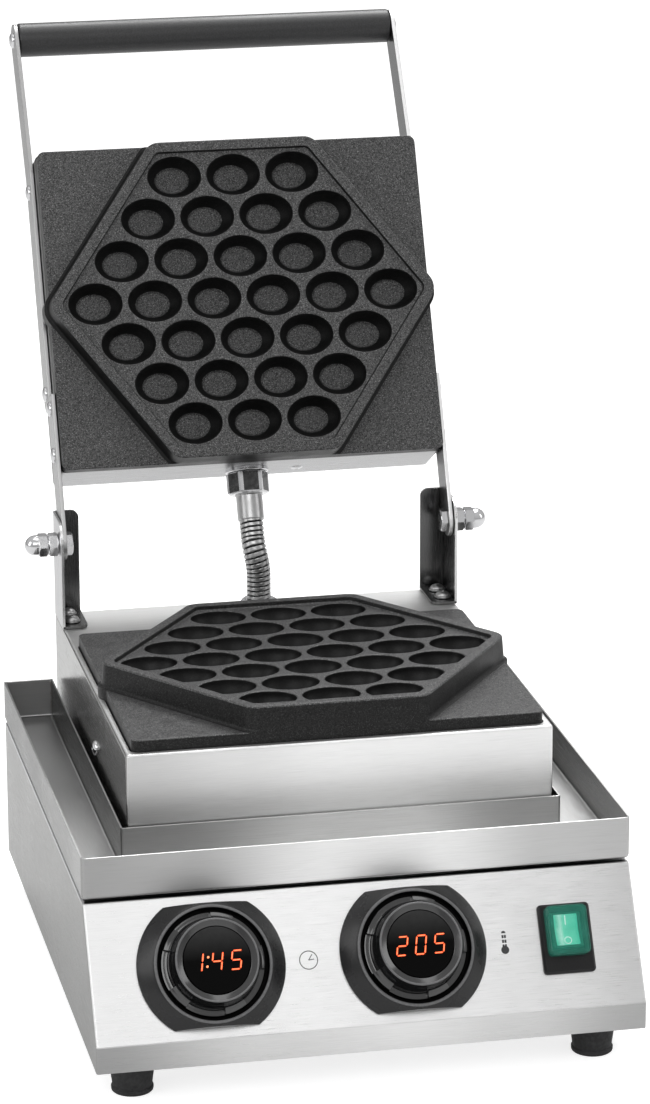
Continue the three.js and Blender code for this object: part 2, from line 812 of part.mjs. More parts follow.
// The casing behind the upper casting: a box, open to the front. Along the lid is Y, out of the lid is Z.
function lid_casing() {
  const outer = rounded_rectangle(0, lid_centre, casting_width, casting_length, casting_corner);
  const inner_width = casting_width - 2 * sheet;
  const inner_length = casting_length - 2 * sheet;
  const inner = rounded_rectangle(0, lid_centre, inner_width, inner_length, casting_corner - sheet);
  const front = lid_flange_back - gap;
  let casing = cut(prism(outer, -casing_back, front), prism(inner, sheet - casing_back, front + overrun));
  const gland_hole = at(0, lid_start, -gland_offset).multiply(along_y);
  casing = cut(casing, rod(gland_neck_radius + gap, -overrun, sheet + overrun, 16, gland_hole));
  for (const side of [-1, 1]) {
    for (const [along, out] of side_fasteners) {
      const frame = outward(side, half_casting, along, out);
      casing = cut(casing, rod(rivet_shank_radius + gap, -sheet - overrun, overrun, 8, frame));
    }
  }
  return casing;
}

// Places on the lid's sides of rivets and screws: along the lid, out of the lid.
const side_fasteners = [
  ...hinge_rivets_along.map((along) => [along, 0]),
  ...handle_rivets_along.map((along) => [along, -handle_arm_offset]),
  [lid_centre, 0],
];

// A hinge arm: round end at the bolt, its upper rear corner cut clear of the handle arm.
function hinge_arm(side) {
  const half = bar_width / 2;
  const shank = new THREE.Shape();
  shank.moveTo(0, -half);
  shank.lineTo(hinge_arm_end - hinge_arm_cut_along, -half);
  shank.lineTo(hinge_arm_end, hinge_arm_cut_across - half);
  shank.lineTo(hinge_arm_end, half);
  shank.lineTo(0, half);
  shank.absarc(0, 0, half, Math.PI / 2, (3 * Math.PI) / 2, false);
  const start = side > 0 ? arm_inner : -arm_outer;
  let arm = prism(shank, start, start + bar_thickness, along_x, 8);
  const hole_start = -overrun;
  const hole_end = bar_thickness + overrun;
  arm = cut(arm, rod(bolt_radius + gap, hole_start, hole_end, 16, outward(side, arm_inner, 0, 0)));
  for (const along of hinge_rivets_along) {
    const frame = outward(side, arm_inner, along, 0);
    arm = cut(arm, rod(rivet_shank_radius + gap, hole_start, hole_end, 8, frame));
  }
  return arm;
}

// A handle arm: straight along the casing, then bent back to the handle.
function handle_arm(side) {
  const start = [handle_arm_start, -handle_arm_offset];
  const bend = [handle_arm_bend, -handle_arm_offset];
  const end = [handle_along, -handle_offset];
  const low = side > 0 ? arm_inner : -arm_outer;
  const high = low + bar_thickness;
  let arm = join(
    prism(round_ended_bar(start, bend, bar_width), low, high, along_x, 8),
    prism(round_ended_bar(bend, end, bar_width), low, high, along_x, 8),
  );
  for (const along of handle_rivets_along) {
    const frame = outward(side, arm_inner, along, -handle_arm_offset);
    arm = cut(arm, rod(rivet_shank_radius + gap, -overrun, bar_thickness + overrun, 8, frame));
  }
  const frame = outward(side, arm_inner, handle_along, -handle_offset);
  return cut(arm, rod(rivet_shank_radius + gap, -overrun, bar_thickness + overrun, 8, frame));
}

// The round grip between the arms, with a blind hole in each end.
function handle() {
  const half = arm_inner - gap;
  let bar = rod(handle_radius, -half, half, 24, along_x);
  for (const side of [-1, 1]) {
    const hole = rod(rivet_shank_radius + gap, -handle_bore_depth - gap, overrun, 12,
      outward(side, half, 0, 0));
    bar = cut(bar, hole);
  }
  return bar;
}

// The lid's gland: hexagon and ferrule below the casing, its neck through the wall. It stands along -Z.
function lid_gland() {
  const bottom = -gap - gland_hex_height;
  return cut(
    join(
      rod(gland_hex_radius, bottom, -gap, 6),
      rod(ferrule_radius, bottom - ferrule_length, bottom + gap, 16),
      rod(gland_neck_radius, bottom, gland_neck_length, 16),
    ),
    rod(conduit_bore, bottom - ferrule_length - overrun, gland_neck_length + overrun, 12),
  );
}

// The deck's gland: a low hexagon on the deck, its neck through it.
function deck_gland() {
  return cut(
    join(
      rod(deck_gland_radius, gap, deck_gland_height, 6),
      rod(gland_neck_radius, -gland_neck_length, deck_gland_height, 16),
    ),
    rod(conduit_bore, -gland_neck_length - overrun, deck_gland_height + overrun, 12),
  );
}

// The ribbed hose, open right through: two rings for each rib, joined to its bore at both ends.
function conduit() {
  const path = conduit_path();
  const length = path.getLength();
  const ribs = Math.round(length / conduit_rib_pitch);
  const outside = [];
  for (let k = 0; k < ribs; k++) {
    outside.push([k / ribs, conduit_radius]);
    outside.push([(k + 0.5) / ribs, conduit_radius - conduit_groove]);
  }
  outside.push([1, conduit_radius]);
  const bore_rings = Math.ceil(ribs / 5);
  const inside = [];
  for (let k = bore_rings; k >= 0; k--) inside.push([k / bore_rings, conduit_bore]);
  return ring_mesh(path, [...outside, ...inside]);
}

// A tube skin through rings given as share of a path and radius. The last ring joins the first.
function ring_mesh(path, rings) {
  const across = new THREE.Vector3(1, 0, 0);
  const positions = [];
  for (const [share, radius] of rings) {
    const centre = path.getPointAt(share);
    const tangent = path.getTangentAt(share);
    const up = new THREE.Vector3().crossVectors(tangent, across).normalize();
    const flat = new THREE.Vector3().crossVectors(up, tangent).normalize();
    for (let j = 0; j < conduit_points; j++) {
      const angle = (2 * Math.PI * j) / conduit_points;
      const point = centre.clone();
      point.addScaledVector(flat, radius * Math.cos(angle));
      point.addScaledVector(up, radius * Math.sin(angle));
      positions.push(point.x, point.y, point.z);
    }
  }
  const faces = [];
  for (let i = 0; i < rings.length; i++) {
    const next = (i + 1) % rings.length;
    for (let j = 0; j < conduit_points; j++) {
      const k = (j + 1) % conduit_points;
      const [a, b] = [i * conduit_points + j, i * conduit_points + k];
      const [c, d] = [next * conduit_points + j, next * conduit_points + k];
      faces.push(a, b, d, a, d, c);
    }
  }
  const skin = new THREE.BufferGeometry();
  skin.setAttribute("position", new THREE.Float32BufferAttribute(positions, 3));
  skin.setIndex(faces);
  return solid(skin);
}

// A control's bezel on the panel: a cone with two flat sides up to its ring, and its body behind the panel.
function control_bezel() {
  const ring_inner = bezel_ring_radius - bezel_ring_wall;
  const section = [
    [0, gap],
    [bezel_radius, gap],
    [bezel_radius, bezel_edge],
    [bezel_ring_radius, bezel_ring_height],
    [ring_inner, bezel_ring_height],
    [ring_inner, bezel_floor],
    [0, bezel_floor],
  ];
  const flats = brick(-bezel_radius, bezel_radius, -bezel_flat, bezel_flat, -overrun,
    bezel_ring_height + overrun);
  return join(turned(section, 40).intersect(flats), rod(unit_radius, -unit_depth, bezel_floor - gap, 24));
}

// The turning ring of a control: shoulder with finger notches, neck and bevelled face.
function control_knob() {
  const bore = display_radius + gap;
  const low = bezel_floor + gap;
  const bevel = (knob_neck_radius - knob_face_radius) / 2;
  const notch_top = knob_shoulder_height + knob_shoulder_rise + overrun;
  const section = [
    [bore, low],
    [knob_radius, low],
    [knob_radius, knob_shoulder_height - bevel],
    [knob_radius - bevel, knob_shoulder_height],
    [knob_neck_radius, knob_shoulder_height + knob_shoulder_rise],
    [knob_neck_radius - bevel, knob_height - bevel],
    [knob_face_radius, knob_height],
    [bore, knob_height - bevel],
    [bore, low],
  ];
  let knob = turned(section, 32);
  for (let k = 0; k < notch_count; k++) {
    const middle = notch_turn + (2 * Math.PI * k) / notch_count;
    const space = new THREE.Shape();
    space.absarc(0, 0, knob_radius + overrun, middle - notch_angle, middle + notch_angle, false);
    space.absarc(0, 0, notch_inner_radius, middle + notch_angle, middle - notch_angle, true);
    space.closePath();
    knob = cut(knob, prism(space, notch_floor, notch_top, null, 3));
  }
  return knob;
}

function control_display() {
  return rod(display_radius, bezel_floor + gap, knob_height - display_sink, 32);
}

// The switch: frame on the panel, body behind it, and the window of its rocker.
function switch_frame() {
  const frame = rounded_rectangle(0, 0, switch_width, switch_length, switch_corner);
  const half_width = switch_width / 2 - switch_body_inset;
  const half_length = switch_length / 2 - switch_body_inset;
  return cut(
    join(
      prism(frame, gap, switch_height),
      brick(-half_width, half_width, -half_length, half_length, -switch_body_depth, switch_height - gap),
    ),
    brick(-window_width / 2, window_width / 2, window_rise - window_length / 2,
      window_rise + window_length / 2, switch_height - window_depth, switch_height + overrun),
  );
}

// The rocker: a block with a shallow V face and a rounded belly about its pin, drawn from the side.
function switch_rocker() {
  const half = window_length / 2 - rocker_play;
  const half_width = window_width / 2 - rocker_play;
  const rise = rocker_rise + rocker_pin_depth;
  const drop = rocker_pin_depth - window_depth * rocker_sink_share;
  const side = new THREE.Shape();
  side.moveTo(-half, rise - half * Math.tan(rocker_tilt) + rocker_rise);
  side.lineTo(0, rise - half * Math.tan(rocker_tilt));
  side.lineTo(half, rise - half * Math.tan(rocker_tilt) + rocker_rise);
  side.lineTo(half, 0);
  side.lineTo(0, drop);
  side.lineTo(-half, 0);
  side.closePath();
  return prism(side, -half_width, half_width, along_x);
}

// The splash cover over the rocker: a thin soft shell, open to the frame.
function switch_cover() {
  const outer = rounded_rectangle(0, 0, cover_width, cover_length, cover_corner);
  const inner_width = cover_width - 2 * cover_wall;
  const inner_length = cover_length - 2 * cover_wall;
  const inner = rounded_rectangle(0, 0, inner_width, inner_length, cover_corner - cover_wall);
  const low = switch_height + gap;
  return cut(
    prism(outer, low, low + cover_height),
    prism(inner, low - overrun, low + cover_height - cover_wall),
  );
}

// The board that runs both controls, on four posts, with its terminal block.
function controller_board() {
  const low = body_bottom + sheet + gap;
  const top = low + board_post_height + board_sheet;
  const half_width = board_width / 2;
  const half_length = board_length / 2;
  let board = brick(-half_width, half_width, board_y - half_length, board_y + half_length,
    low + board_post_height, top);
  board = join(board, brick(-terminal_width / 2, terminal_width / 2, board_y,
    board_y + terminal_length, top - gap, top + terminal_height));
  for (const x of [board_post_radius - half_width, half_width - board_post_radius]) {
    for (const y of [board_post_radius - half_length, half_length - board_post_radius]) {
      const place = at(x, board_y + y, 0);
      const post = rod(board_post_radius - weld, low, low + board_post_height + gap, 8, place);
      board = join(board, post);
    }
  }
  return board;
}

// The gland of the mains cord in the back wall, with its bore.
function cord_gland() {
  const hex_length = cord_gland_length * cord_gland_hex_share;
  return cut(
    join(
      rod(cord_gland_hex_radius, gap, hex_length, 6),
      rod(cord_gland_radius, -cord_gland_length, cord_gland_length, 12),
    ),
    rod(cord_gland_bore, -cord_gland_length - overrun, cord_gland_length + overrun, 12),
  );
}

// Makes a named mesh of a solid, in a group, moved by a matrix.
function add(group, name, body, finish, matrix) {
  const data = body.getMesh();
  const geometry = new THREE.BufferGeometry();
  geometry.setAttribute("position", new THREE.BufferAttribute(data.vertProperties, 3));
  geometry.setIndex(new THREE.BufferAttribute(data.triVerts, 1));
  geometry.computeVertexNormals();
  const mesh = new THREE.Mesh(geometry, new THREE.MeshStandardMaterial(finish));
  mesh.name = name;
  if (matrix) mesh.applyMatrix4(matrix);
  group.add(mesh);
}

const sides = [
  [-1, "left"],
  [1, "right"],
];

// The base: body, feet, tray, housing and what they hold.
function base_group() {
  const group = new THREE.Group();
  add(group, "base_shell", base_shell(), steel);
  add(group, "front_panel", front_panel(), steel);
  add(group, "bottom_plate", bottom_plate(), steel);
  add(group, "spill_tray", spill_tray(), steel);
  add(group, "lower_housing", lower_housing(), steel);
  add(group, "controller_board", controller_board(), board_green);
  const cord_gland_frame = at(cord_gland_across, body_depth, cord_gland_height).multiply(along_y);
  add(group, "cord_gland", cord_gland(), black_plastic, cord_gland_frame);
  const foot_rows = [
    [fold_y + foot_front_inset, "front"],
    [body_depth - foot_rear_inset, "rear"],
  ];
  for (const [side, word] of sides) {
    for (const [y, row] of foot_rows) {
      const x = side * (half_body - foot_side_inset);
      add(group, `foot_${row}_${word}`, foot(), rubber, at(x, y, 0));
    }
  }
  return group;
}

// The lower casting with its heater, clamp plate and temperature probe.
function lower_plate_group() {
  const group = new THREE.Group();
  group.position.set(0, lower_casting_y, casting_bottom);
  add(group, "lower_plate", casting(), coating);
  add(group, "lower_heater", heater(), heater_steel);
  add(group, "lower_clamp_plate", clamp_plate(), heater_steel);
  const half_probe = probe_length / 2;
  const probe = rod(probe_radius, -half_probe, half_probe, 12, along_x);
  add(group, "temperature_probe", probe, bright_steel, at(0, 0, -spigot_height - gap - probe_radius));
  return group;
}

// Brackets, bolts and nuts of the hinge, and the conduit behind it.
function hinge_group() {
  const group = new THREE.Group();
  for (const [side, word] of sides) {
    add(group, `hinge_bracket_${word}`, hinge_bracket(side), steel);
    add(group, `hinge_bolt_${word}`, hinge_bolt(), bright_steel,
      outward(side, arm_inner, hinge_y, hinge_height));
    add(group, `hinge_nut_${word}`, hinge_nut(), bright_steel,
      outward(side, bracket_outer, hinge_y, hinge_height));
    add(group, `cap_nut_${word}`, cap_nut(), bright_steel,
      outward(side, bracket_outer + nut_height + 2 * gap, hinge_y, hinge_height));
  }
  bracket_screw_places().forEach((place, i) => {
    const word = place.side > 0 ? "right" : "left";
    const row = i % bracket_screws_from_front.length === 0 ? "front" : "rear";
    const seat = at(place.x, place.y, deck_height + gap + plate_sheet);
    add(group, `bracket_screw_${word}_${row}`, bracket_screw(), bright_steel, seat);
  });
  const end = conduit_route.at(-1);
  add(group, "deck_gland", deck_gland(), bright_steel, at(end.x, end.y, deck_height));
  add(group, "conduit", conduit(), bright_steel);
  return group;
}

// The lid in its own frame: along the lid is Y, out of its baking face is Z.
function lid_group() {
  const group = new THREE.Group();
  group.applyMatrix4(lid_frame);
  const seat = at(0, lid_centre, lid_flange_back).multiply(new THREE.Matrix4().makeRotationZ(Math.PI));
  add(group, "lid_casing", lid_casing(), steel);
  add(group, "upper_plate", casting(), coating, seat);
  add(group, "upper_heater", heater(), heater_steel, seat);
  add(group, "upper_clamp_plate", clamp_plate(), heater_steel, seat);
  add(group, "handle", handle(), grip, at(0, handle_along, -handle_offset));
  const gland_seat = at(0, lid_start, -gland_offset).multiply(along_y);
  add(group, "lid_gland", lid_gland(), bright_steel, gland_seat);
  for (const [side, word] of sides) {
    add(group, `hinge_arm_${word}`, hinge_arm(side), steel);
    add(group, `handle_arm_${word}`, handle_arm(side), steel);
    add_arm_fasteners(group, side, word);
  }
  return group;
}

// Rivets of both arms, the screw of the handle and the screw that holds the casting in its casing.
function add_arm_fasteners(group, side, word) {
  const rivet = (length, head_radius = rivet_head_radius) =>
    domed_fastener(head_radius, rivet_head_height, rivet_shank_radius, length);
  hinge_rivets_along.forEach((along, i) => {
    const frame = outward(side, arm_outer, along, 0);
    add(group, `hinge_rivet_${word}_${i + 1}`, rivet(rivet_length), bright_steel, frame);
  });
  handle_rivets_along.forEach((along, i) => {
    const frame = outward(side, arm_outer, along, -handle_arm_offset);
    add(group, `handle_rivet_${word}_${i + 1}`, rivet(rivet_length), bright_steel, frame);
  });
  add(group, `handle_screw_${word}`, rivet(handle_bore_depth), bright_steel,
    outward(side, arm_outer, handle_along, -handle_offset));
  const plate_screw = rivet(side_screw_length - 2 * gap, plate_screw_head_radius);
  const plate_screw_seat = outward(side, half_casting, lid_centre, 0);
  add(group, `plate_screw_${word}`, plate_screw, bright_steel, plate_screw_seat);
}

// What stands on the panel: two controls and the switch.
function panel_group() {
  const group = new THREE.Group();
  group.applyMatrix4(panel_frame);
  ["timer", "temperature"].forEach((word, i) => {
    const seat = at(knob_across[i], knob_up, 0);
    add(group, `${word}_bezel`, control_bezel(), black_plastic, seat);
    add(group, `${word}_knob`, control_knob(), black_plastic, seat);
    add(group, `${word}_display`, control_display(), display_glass, seat);
  });
  const seat = at(switch_across, switch_up, 0);
  const tilt = new THREE.Matrix4().makeRotationX(-rocker_tilt);
  const window_seat = at(switch_across, switch_up + window_rise, 0);
  const pin = window_seat.clone().multiply(at(0, 0, switch_height - rocker_pin_depth)).multiply(tilt);
  add(group, "switch_frame", switch_frame(), black_plastic, seat);
  add(group, "switch_rocker", switch_rocker(), green, pin);
  add(group, "switch_cover", switch_cover(), green, window_seat);
  return group;
}

// All of it, with the origin on the ground under the middle of the box.
function bubble_waffle_maker() {
  const machine = new THREE.Group();
  machine.add(base_group(), lower_plate_group(), hinge_group(), lid_group(), panel_group());
  machine.updateMatrixWorld(true);
  const box = new THREE.Box3().setFromObject(machine, true);
  machine.position.set(0, -(box.min.y + box.max.y) / 2, 0);
  return machine;
}

export default bubble_waffle_maker();
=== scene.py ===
# Bubble waffle maker with its lid open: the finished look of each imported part.
# Pieces are drawn in millimetres and made in metres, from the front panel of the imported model.
import math

import bmesh
import bpy
from mathutils import Matrix, Vector
from mathutils.geometry import tessellate_polygon


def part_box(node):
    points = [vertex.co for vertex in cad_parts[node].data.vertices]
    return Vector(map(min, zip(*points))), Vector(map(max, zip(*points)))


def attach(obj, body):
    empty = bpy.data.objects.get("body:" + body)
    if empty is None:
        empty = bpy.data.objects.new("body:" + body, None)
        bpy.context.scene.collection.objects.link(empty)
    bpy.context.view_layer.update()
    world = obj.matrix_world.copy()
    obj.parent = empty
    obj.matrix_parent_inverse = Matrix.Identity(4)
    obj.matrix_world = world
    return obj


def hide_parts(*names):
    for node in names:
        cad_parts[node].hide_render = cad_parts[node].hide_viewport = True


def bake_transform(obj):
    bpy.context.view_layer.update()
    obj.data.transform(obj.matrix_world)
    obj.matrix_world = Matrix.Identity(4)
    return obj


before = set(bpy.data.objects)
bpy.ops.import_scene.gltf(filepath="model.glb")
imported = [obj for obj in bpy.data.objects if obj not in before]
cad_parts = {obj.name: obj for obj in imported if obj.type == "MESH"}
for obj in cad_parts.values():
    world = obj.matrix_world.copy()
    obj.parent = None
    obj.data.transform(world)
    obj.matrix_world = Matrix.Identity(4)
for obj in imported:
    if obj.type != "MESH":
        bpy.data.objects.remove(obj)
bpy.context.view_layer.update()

# Camera, lamps and floor.
# A long lens from the front left, a little above the lid, and a pale studio round the machine.
MM = 0.001
panel_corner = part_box("front_panel")[0]
drawn_fold_y, drawn_bottom = -252.552, 15.0
set_back = panel_corner[1] - drawn_fold_y * MM
set_up = panel_corner[2] - drawn_bottom * MM
drawing = Matrix.Translation((0, set_back, set_up))
image_height = 1104
image_right, image_up = 67.0, -4.36
lens_length = 137.88
camera_turn, camera_drop, camera_lean = -10.9348, 16.8104, -0.42216
camera_stand = (-0.475122, -2.378973, 0.967323)
camera_data = bpy.data.cameras.new("camera")
camera_data.sensor_fit = "VERTICAL"
camera_data.sensor_height = 36
camera_data.lens = lens_length
camera_data.shift_x = image_right / image_height
camera_data.shift_y = image_up / image_height
camera_data.clip_end = 30
camera = bpy.data.objects.new("camera", camera_data)
bpy.context.scene.collection.objects.link(camera)
camera_pan = Matrix.Rotation(math.radians(camera_turn), 4, "Z")
camera_tilt = Matrix.Rotation(math.radians(90 - camera_drop), 4, "X")
camera_roll = Matrix.Rotation(math.radians(camera_lean), 4, "Z")
camera_spot = drawing @ Matrix.Translation(camera_stand)
camera.matrix_world = camera_spot @ camera_pan @ camera_tilt @ camera_roll
bpy.context.scene.camera = camera
bpy.context.scene.view_settings.view_transform = "Standard"


def softbox(name, spot, aim, width, height, watts):
    """A rectangular lamp that hangs at a spot and looks at another."""
    lamp = bpy.data.lights.new(name, "AREA")
    lamp.shape = "RECTANGLE"
    lamp.size = width
    lamp.size_y = height
    lamp.energy = watts
    stand = bpy.data.objects.new(name, lamp)
    bpy.context.scene.collection.objects.link(stand)
    look = (Vector(aim) - Vector(spot)).to_track_quat("-Z", "Y")
    stand.matrix_world = Matrix.Translation(spot) @ look.to_matrix().to_4x4()


softbox("front_softbox", (-0.7, -2.3, 1.9), (0, 0, 0.15), 1.7, 1.1, 15)
softbox("left_softbox", (-2.2, -0.5, 1.2), (0, 0, 0.2), 1.0, 1.6, 10)
softbox("top_softbox", (0.2, 0.3, 2.4), (0, 0, 0.2), 1.6, 1.6, 12)
softbox("right_softbox", (2.3, -0.9, 1.3), (0, 0, 0.2), 0.7, 1.5, 6)
softbox("rear_softbox", (0.45, 1.05, 1.75), (0, -0.2, 0.1), 0.9, 0.6, 18)


def graded(tree, value, low, high, start=0.3, stop=0.7):
    """Spreads a value between two numbers."""
    spread = tree.nodes.new("ShaderNodeMapRange")
    spread.inputs["From Min"].default_value = start
    spread.inputs["From Max"].default_value = stop
    spread.inputs["To Min"].default_value = low
    spread.inputs["To Max"].default_value = high
    tree.links.new(value, spread.inputs["Value"])
    return spread.outputs["Result"]


def worked_out(tree, operation, *values):
    """The result of a sum. Each value is an output or a plain number."""
    working = tree.nodes.new("ShaderNodeMath")
    working.operation = operation
    for socket, value in zip(working.inputs, values):
        if isinstance(value, (int, float)):
            socket.default_value = value
        else:
            tree.links.new(value, socket)
    return working.outputs["Value"]


def axes_of(tree, place="Object"):
    """The X, Y and Z of each point of a piece, or of a direction in the sky."""
    spot = tree.nodes.new("ShaderNodeTexCoord")
    axes = tree.nodes.new("ShaderNodeSeparateXYZ")
    tree.links.new(spot.outputs[place], axes.inputs["Vector"])
    return axes.outputs


studio_level = 0.72
world = bpy.data.worlds.new("studio")
bpy.context.scene.world = world
world.use_nodes = True
sky = world.node_tree
sky.nodes.clear()
direction = axes_of(sky, "Generated")
height_ramp = sky.nodes.new("ShaderNodeValToRGB")
for share, grey in [(0.0, 0.5), (0.5, 0.62), (0.62, 0.82), (0.8, 0.9), (1.0, 0.78)]:
    stop = height_ramp.color_ramp.elements.new(share)
    stop.color = (grey, grey, grey, 1)
height_ramp.color_ramp.elements.remove(height_ramp.color_ramp.elements[0])
height_ramp.color_ramp.elements.remove(height_ramp.color_ramp.elements[-1])
sky.links.new(graded(sky, direction["Z"], 0, 1, -1, 1), height_ramp.inputs["Fac"])

# A dark cloth hangs low behind the machine, for the steel to mirror. The camera sees white.
cloth_side, cloth_top = (0.7, 0.93), (0.33, 0.18)
behind = graded(sky, direction["Y"], 0, 1, *cloth_side)
low_down = graded(sky, direction["Z"], 0, 1, *cloth_top)
dark_cloth = sky.nodes.new("ShaderNodeMixRGB")
dark_cloth.inputs["Color2"].default_value = (0.06, 0.06, 0.06, 1)
sky.links.new(worked_out(sky, "MULTIPLY", behind, low_down), dark_cloth.inputs["Fac"])
sky.links.new(height_ramp.outputs["Color"], dark_cloth.inputs["Color1"])
seen = sky.nodes.new("ShaderNodeLightPath")
shade = sky.nodes.new("ShaderNodeBackground")
shade.inputs["Strength"].default_value = studio_level
sky.links.new(dark_cloth.outputs["Color"], shade.inputs["Color"])
white = sky.nodes.new("ShaderNodeBackground")
white.inputs["Color"].default_value = (1, 1, 1, 1)
white.inputs["Strength"].default_value = 1
pick = sky.nodes.new("ShaderNodeMixShader")
sky.links.new(seen.outputs["Is Camera Ray"], pick.inputs["Fac"])
sky.links.new(shade.outputs["Background"], pick.inputs[1])
sky.links.new(white.outputs["Background"], pick.inputs[2])
sky_out = sky.nodes.new("ShaderNodeOutputWorld")
sky.links.new(pick.outputs["Shader"], sky_out.inputs["Surface"])


def new_material(name, colour, roughness, metallic=0.0):
    """A material, its node tree and its main shader."""
    material = bpy.data.materials.new(name)
    material.use_nodes = True
    tree = material.node_tree
    shader = tree.nodes["Principled BSDF"]
    shader.inputs["Base Color"].default_value = (*colour, 1)
    shader.inputs["Roughness"].default_value = roughness
    shader.inputs["Metallic"].default_value = metallic
    return material, tree, shader


def noise(tree, scale, detail=2.0, stretch=(1, 1, 1), turn=(0, 0, 0), sharp=0.5):
    """Noise over the piece. Scale is in grains a metre, stretch makes the grains longer along an axis."""
    place = tree.nodes.new("ShaderNodeTexCoord")
    frame_turn = tree.nodes.new("ShaderNodeMapping")
    frame_turn.vector_type = "TEXTURE"
    frame_turn.inputs["Rotation"].default_value = turn
    frame_turn.inputs["Scale"].default_value = [length / scale for length in stretch]
    grain = tree.nodes.new("ShaderNodeTexNoise")
    grain.inputs["Scale"].default_value = 1
    grain.inputs["Detail"].default_value = detail
    grain.inputs["Roughness"].default_value = sharp
    tree.links.new(place.outputs["Object"], frame_turn.inputs["Vector"])
    tree.links.new(frame_turn.outputs["Vector"], grain.inputs["Vector"])
    return grain.outputs["Fac"]


def mixed(tree, share, first, second):
    """A colour between two, by a share. A colour may be three numbers or an output."""
    blend = tree.nodes.new("ShaderNodeMix")
    blend.data_type = "RGBA"
    tree.links.new(share, blend.inputs["Factor"])
    for colour, name in ((first, "A"), (second, "B")):
        socket = [each for each in blend.inputs if each.name == name and each.type == "RGBA"][0]
        if isinstance(colour, tuple):
            socket.default_value = (*colour, 1)
        else:
            tree.links.new(colour, socket)
    return [each for each in blend.outputs if each.type == "RGBA"][0]


floor_mesh = bpy.data.meshes.new("floor")
floor_half = 8
floor_corners = [(-1, -1, 0), (1, -1, 0), (1, 1, 0), (-1, 1, 0)]
floor_mesh.from_pydata([Vector(corner) * floor_half for corner in floor_corners], [], [(0, 1, 2, 3)])
floor = bpy.data.objects.new("floor", floor_mesh)
bpy.context.scene.collection.objects.link(floor)
floor_paint, tree, shader = new_material("floor_paint", (0.62, 0.62, 0.62), 0.7)
floor_mesh.materials.append(floor_paint)
cloudy = mixed(tree, noise(tree, 6, 3), (0.61, 0.61, 0.61), (0.635, 0.635, 0.635))
tree.links.new(cloudy, shader.inputs["Base Color"])
shader.inputs["Specular IOR Level"].default_value = 0.0
mirror_share = 0.35
rays = tree.nodes.new("ShaderNodeLightPath").outputs
eyes = worked_out(tree, "MAXIMUM", rays["Is Camera Ray"], rays["Is Transmission Ray"])
mirrors = worked_out(tree, "MULTIPLY_ADD", rays["Is Glossy Ray"], mirror_share, eyes)
shader.inputs["Emission Color"].default_value = (1, 1, 1, 1)
tree.links.new(worked_out(tree, "MULTIPLY", mirrors, studio_level), shader.inputs["Emission Strength"])


# Metal conduit.
# A bright interlocked steel hose that carries the wires from the deck to the lid.
# Its strip is wound with a narrow groove between turns. On the machine it bends as the lid swings; here it is
# made in one shape, for the open lid.
class Skin:
    """Points and faces of one piece, drawn in millimetres, ring by ring."""

    def __init__(self):
        self.points = []
        self.faces = []
        self.finishes = []

    def ring(self, points):
        """Adds points and gives their numbers."""
        start = len(self.points)
        self.points.extend(Vector(point) for point in points)
        return list(range(start, len(self.points)))

    def bridge(self, first, second, closed=True, finish=0):
        """Faces between two rings."""
        for i in range(len(first) if closed else len(first) - 1):
            j = (i + 1) % len(first)
            self.faces.append((first[i], first[j], second[j], second[i]))
            self.finishes.append(finish)

    def stack(self, rings, closed=True, finish=0, bands=()):
        """Faces through rings, open at both ends. Bands may give some of them another finish, by number."""
        made = [self.ring(ring) for ring in rings]
        for i, (first, second) in enumerate(zip(made, made[1:])):
            self.bridge(first, second, closed, dict(bands).get(i, finish))
        return made

    def tip(self, ring, point, finish=0):
        """Faces from a ring to a point."""
        peak = self.ring([point])[0]
        for i in range(len(ring)):
            self.faces.append((ring[i], ring[(i + 1) % len(ring)], peak))
            self.finishes.append(finish)

    def fill(self, ring, holes=(), finish=0):
        """A flat face inside a ring, around its holes."""
        loops = [ring, *holes]
        order = [i for loop in loops for i in loop]
        for corners in tessellate_polygon([[self.points[i] for i in loop] for loop in loops]):
            self.faces.append(tuple(order[i] for i in corners))
            self.finishes.append(finish)

    def solid(self, rings, finish=0):
        """A closed body through rings, flat at both ends."""
        made = self.stack(rings, finish=finish)
        self.fill(made[0], finish=finish)
        self.fill(made[-1], finish=finish)
        return made


def make(skin, name, materials, place=None, crisp=32, edge=0.0):
    """The object of a skin. Edges sharper than crisp degrees stay sharp. Edge rounds them, in millimetres."""
    mesh = bpy.data.meshes.new(name)
    place = drawing @ (place or Matrix.Identity(4))
    mesh.from_pydata([place @ (point * MM) for point in skin.points], [], skin.faces)
    for material in materials if isinstance(materials, list) else [materials]:
        mesh.materials.append(material)
    mesh.polygons.foreach_set("material_index", skin.finishes)
    work = bmesh.new()
    work.from_mesh(mesh)
    bmesh.ops.remove_doubles(work, verts=work.verts, dist=1e-7)
    bmesh.ops.dissolve_degenerate(work, edges=work.edges, dist=1e-8)
    bmesh.ops.recalc_face_normals(work, faces=work.faces)
    work.to_mesh(mesh)
    work.free()
    mesh.shade_smooth()
    mesh.set_sharp_from_angle(angle=math.radians(crisp))
    piece = bpy.data.objects.new(name, mesh)
    bpy.context.scene.collection.objects.link(piece)
    if edge:
        rounding = piece.modifiers.new("rounded_edges", "BEVEL")
        rounding.width = edge * MM
        rounding.segments = 2
        rounding.limit_method = "ANGLE"
        rounding.angle_limit = math.radians(40)
        rounding.harden_normals = False
    even = piece.modifiers.new("even_shading", "WEIGHTED_NORMAL")
    even.keep_sharp = True
    even.weight = 80
    return piece


def fit(piece, body, slot, *nodes):
    """Puts a finished piece on its body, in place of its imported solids."""
    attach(piece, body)
    if nodes:
        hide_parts(*nodes)


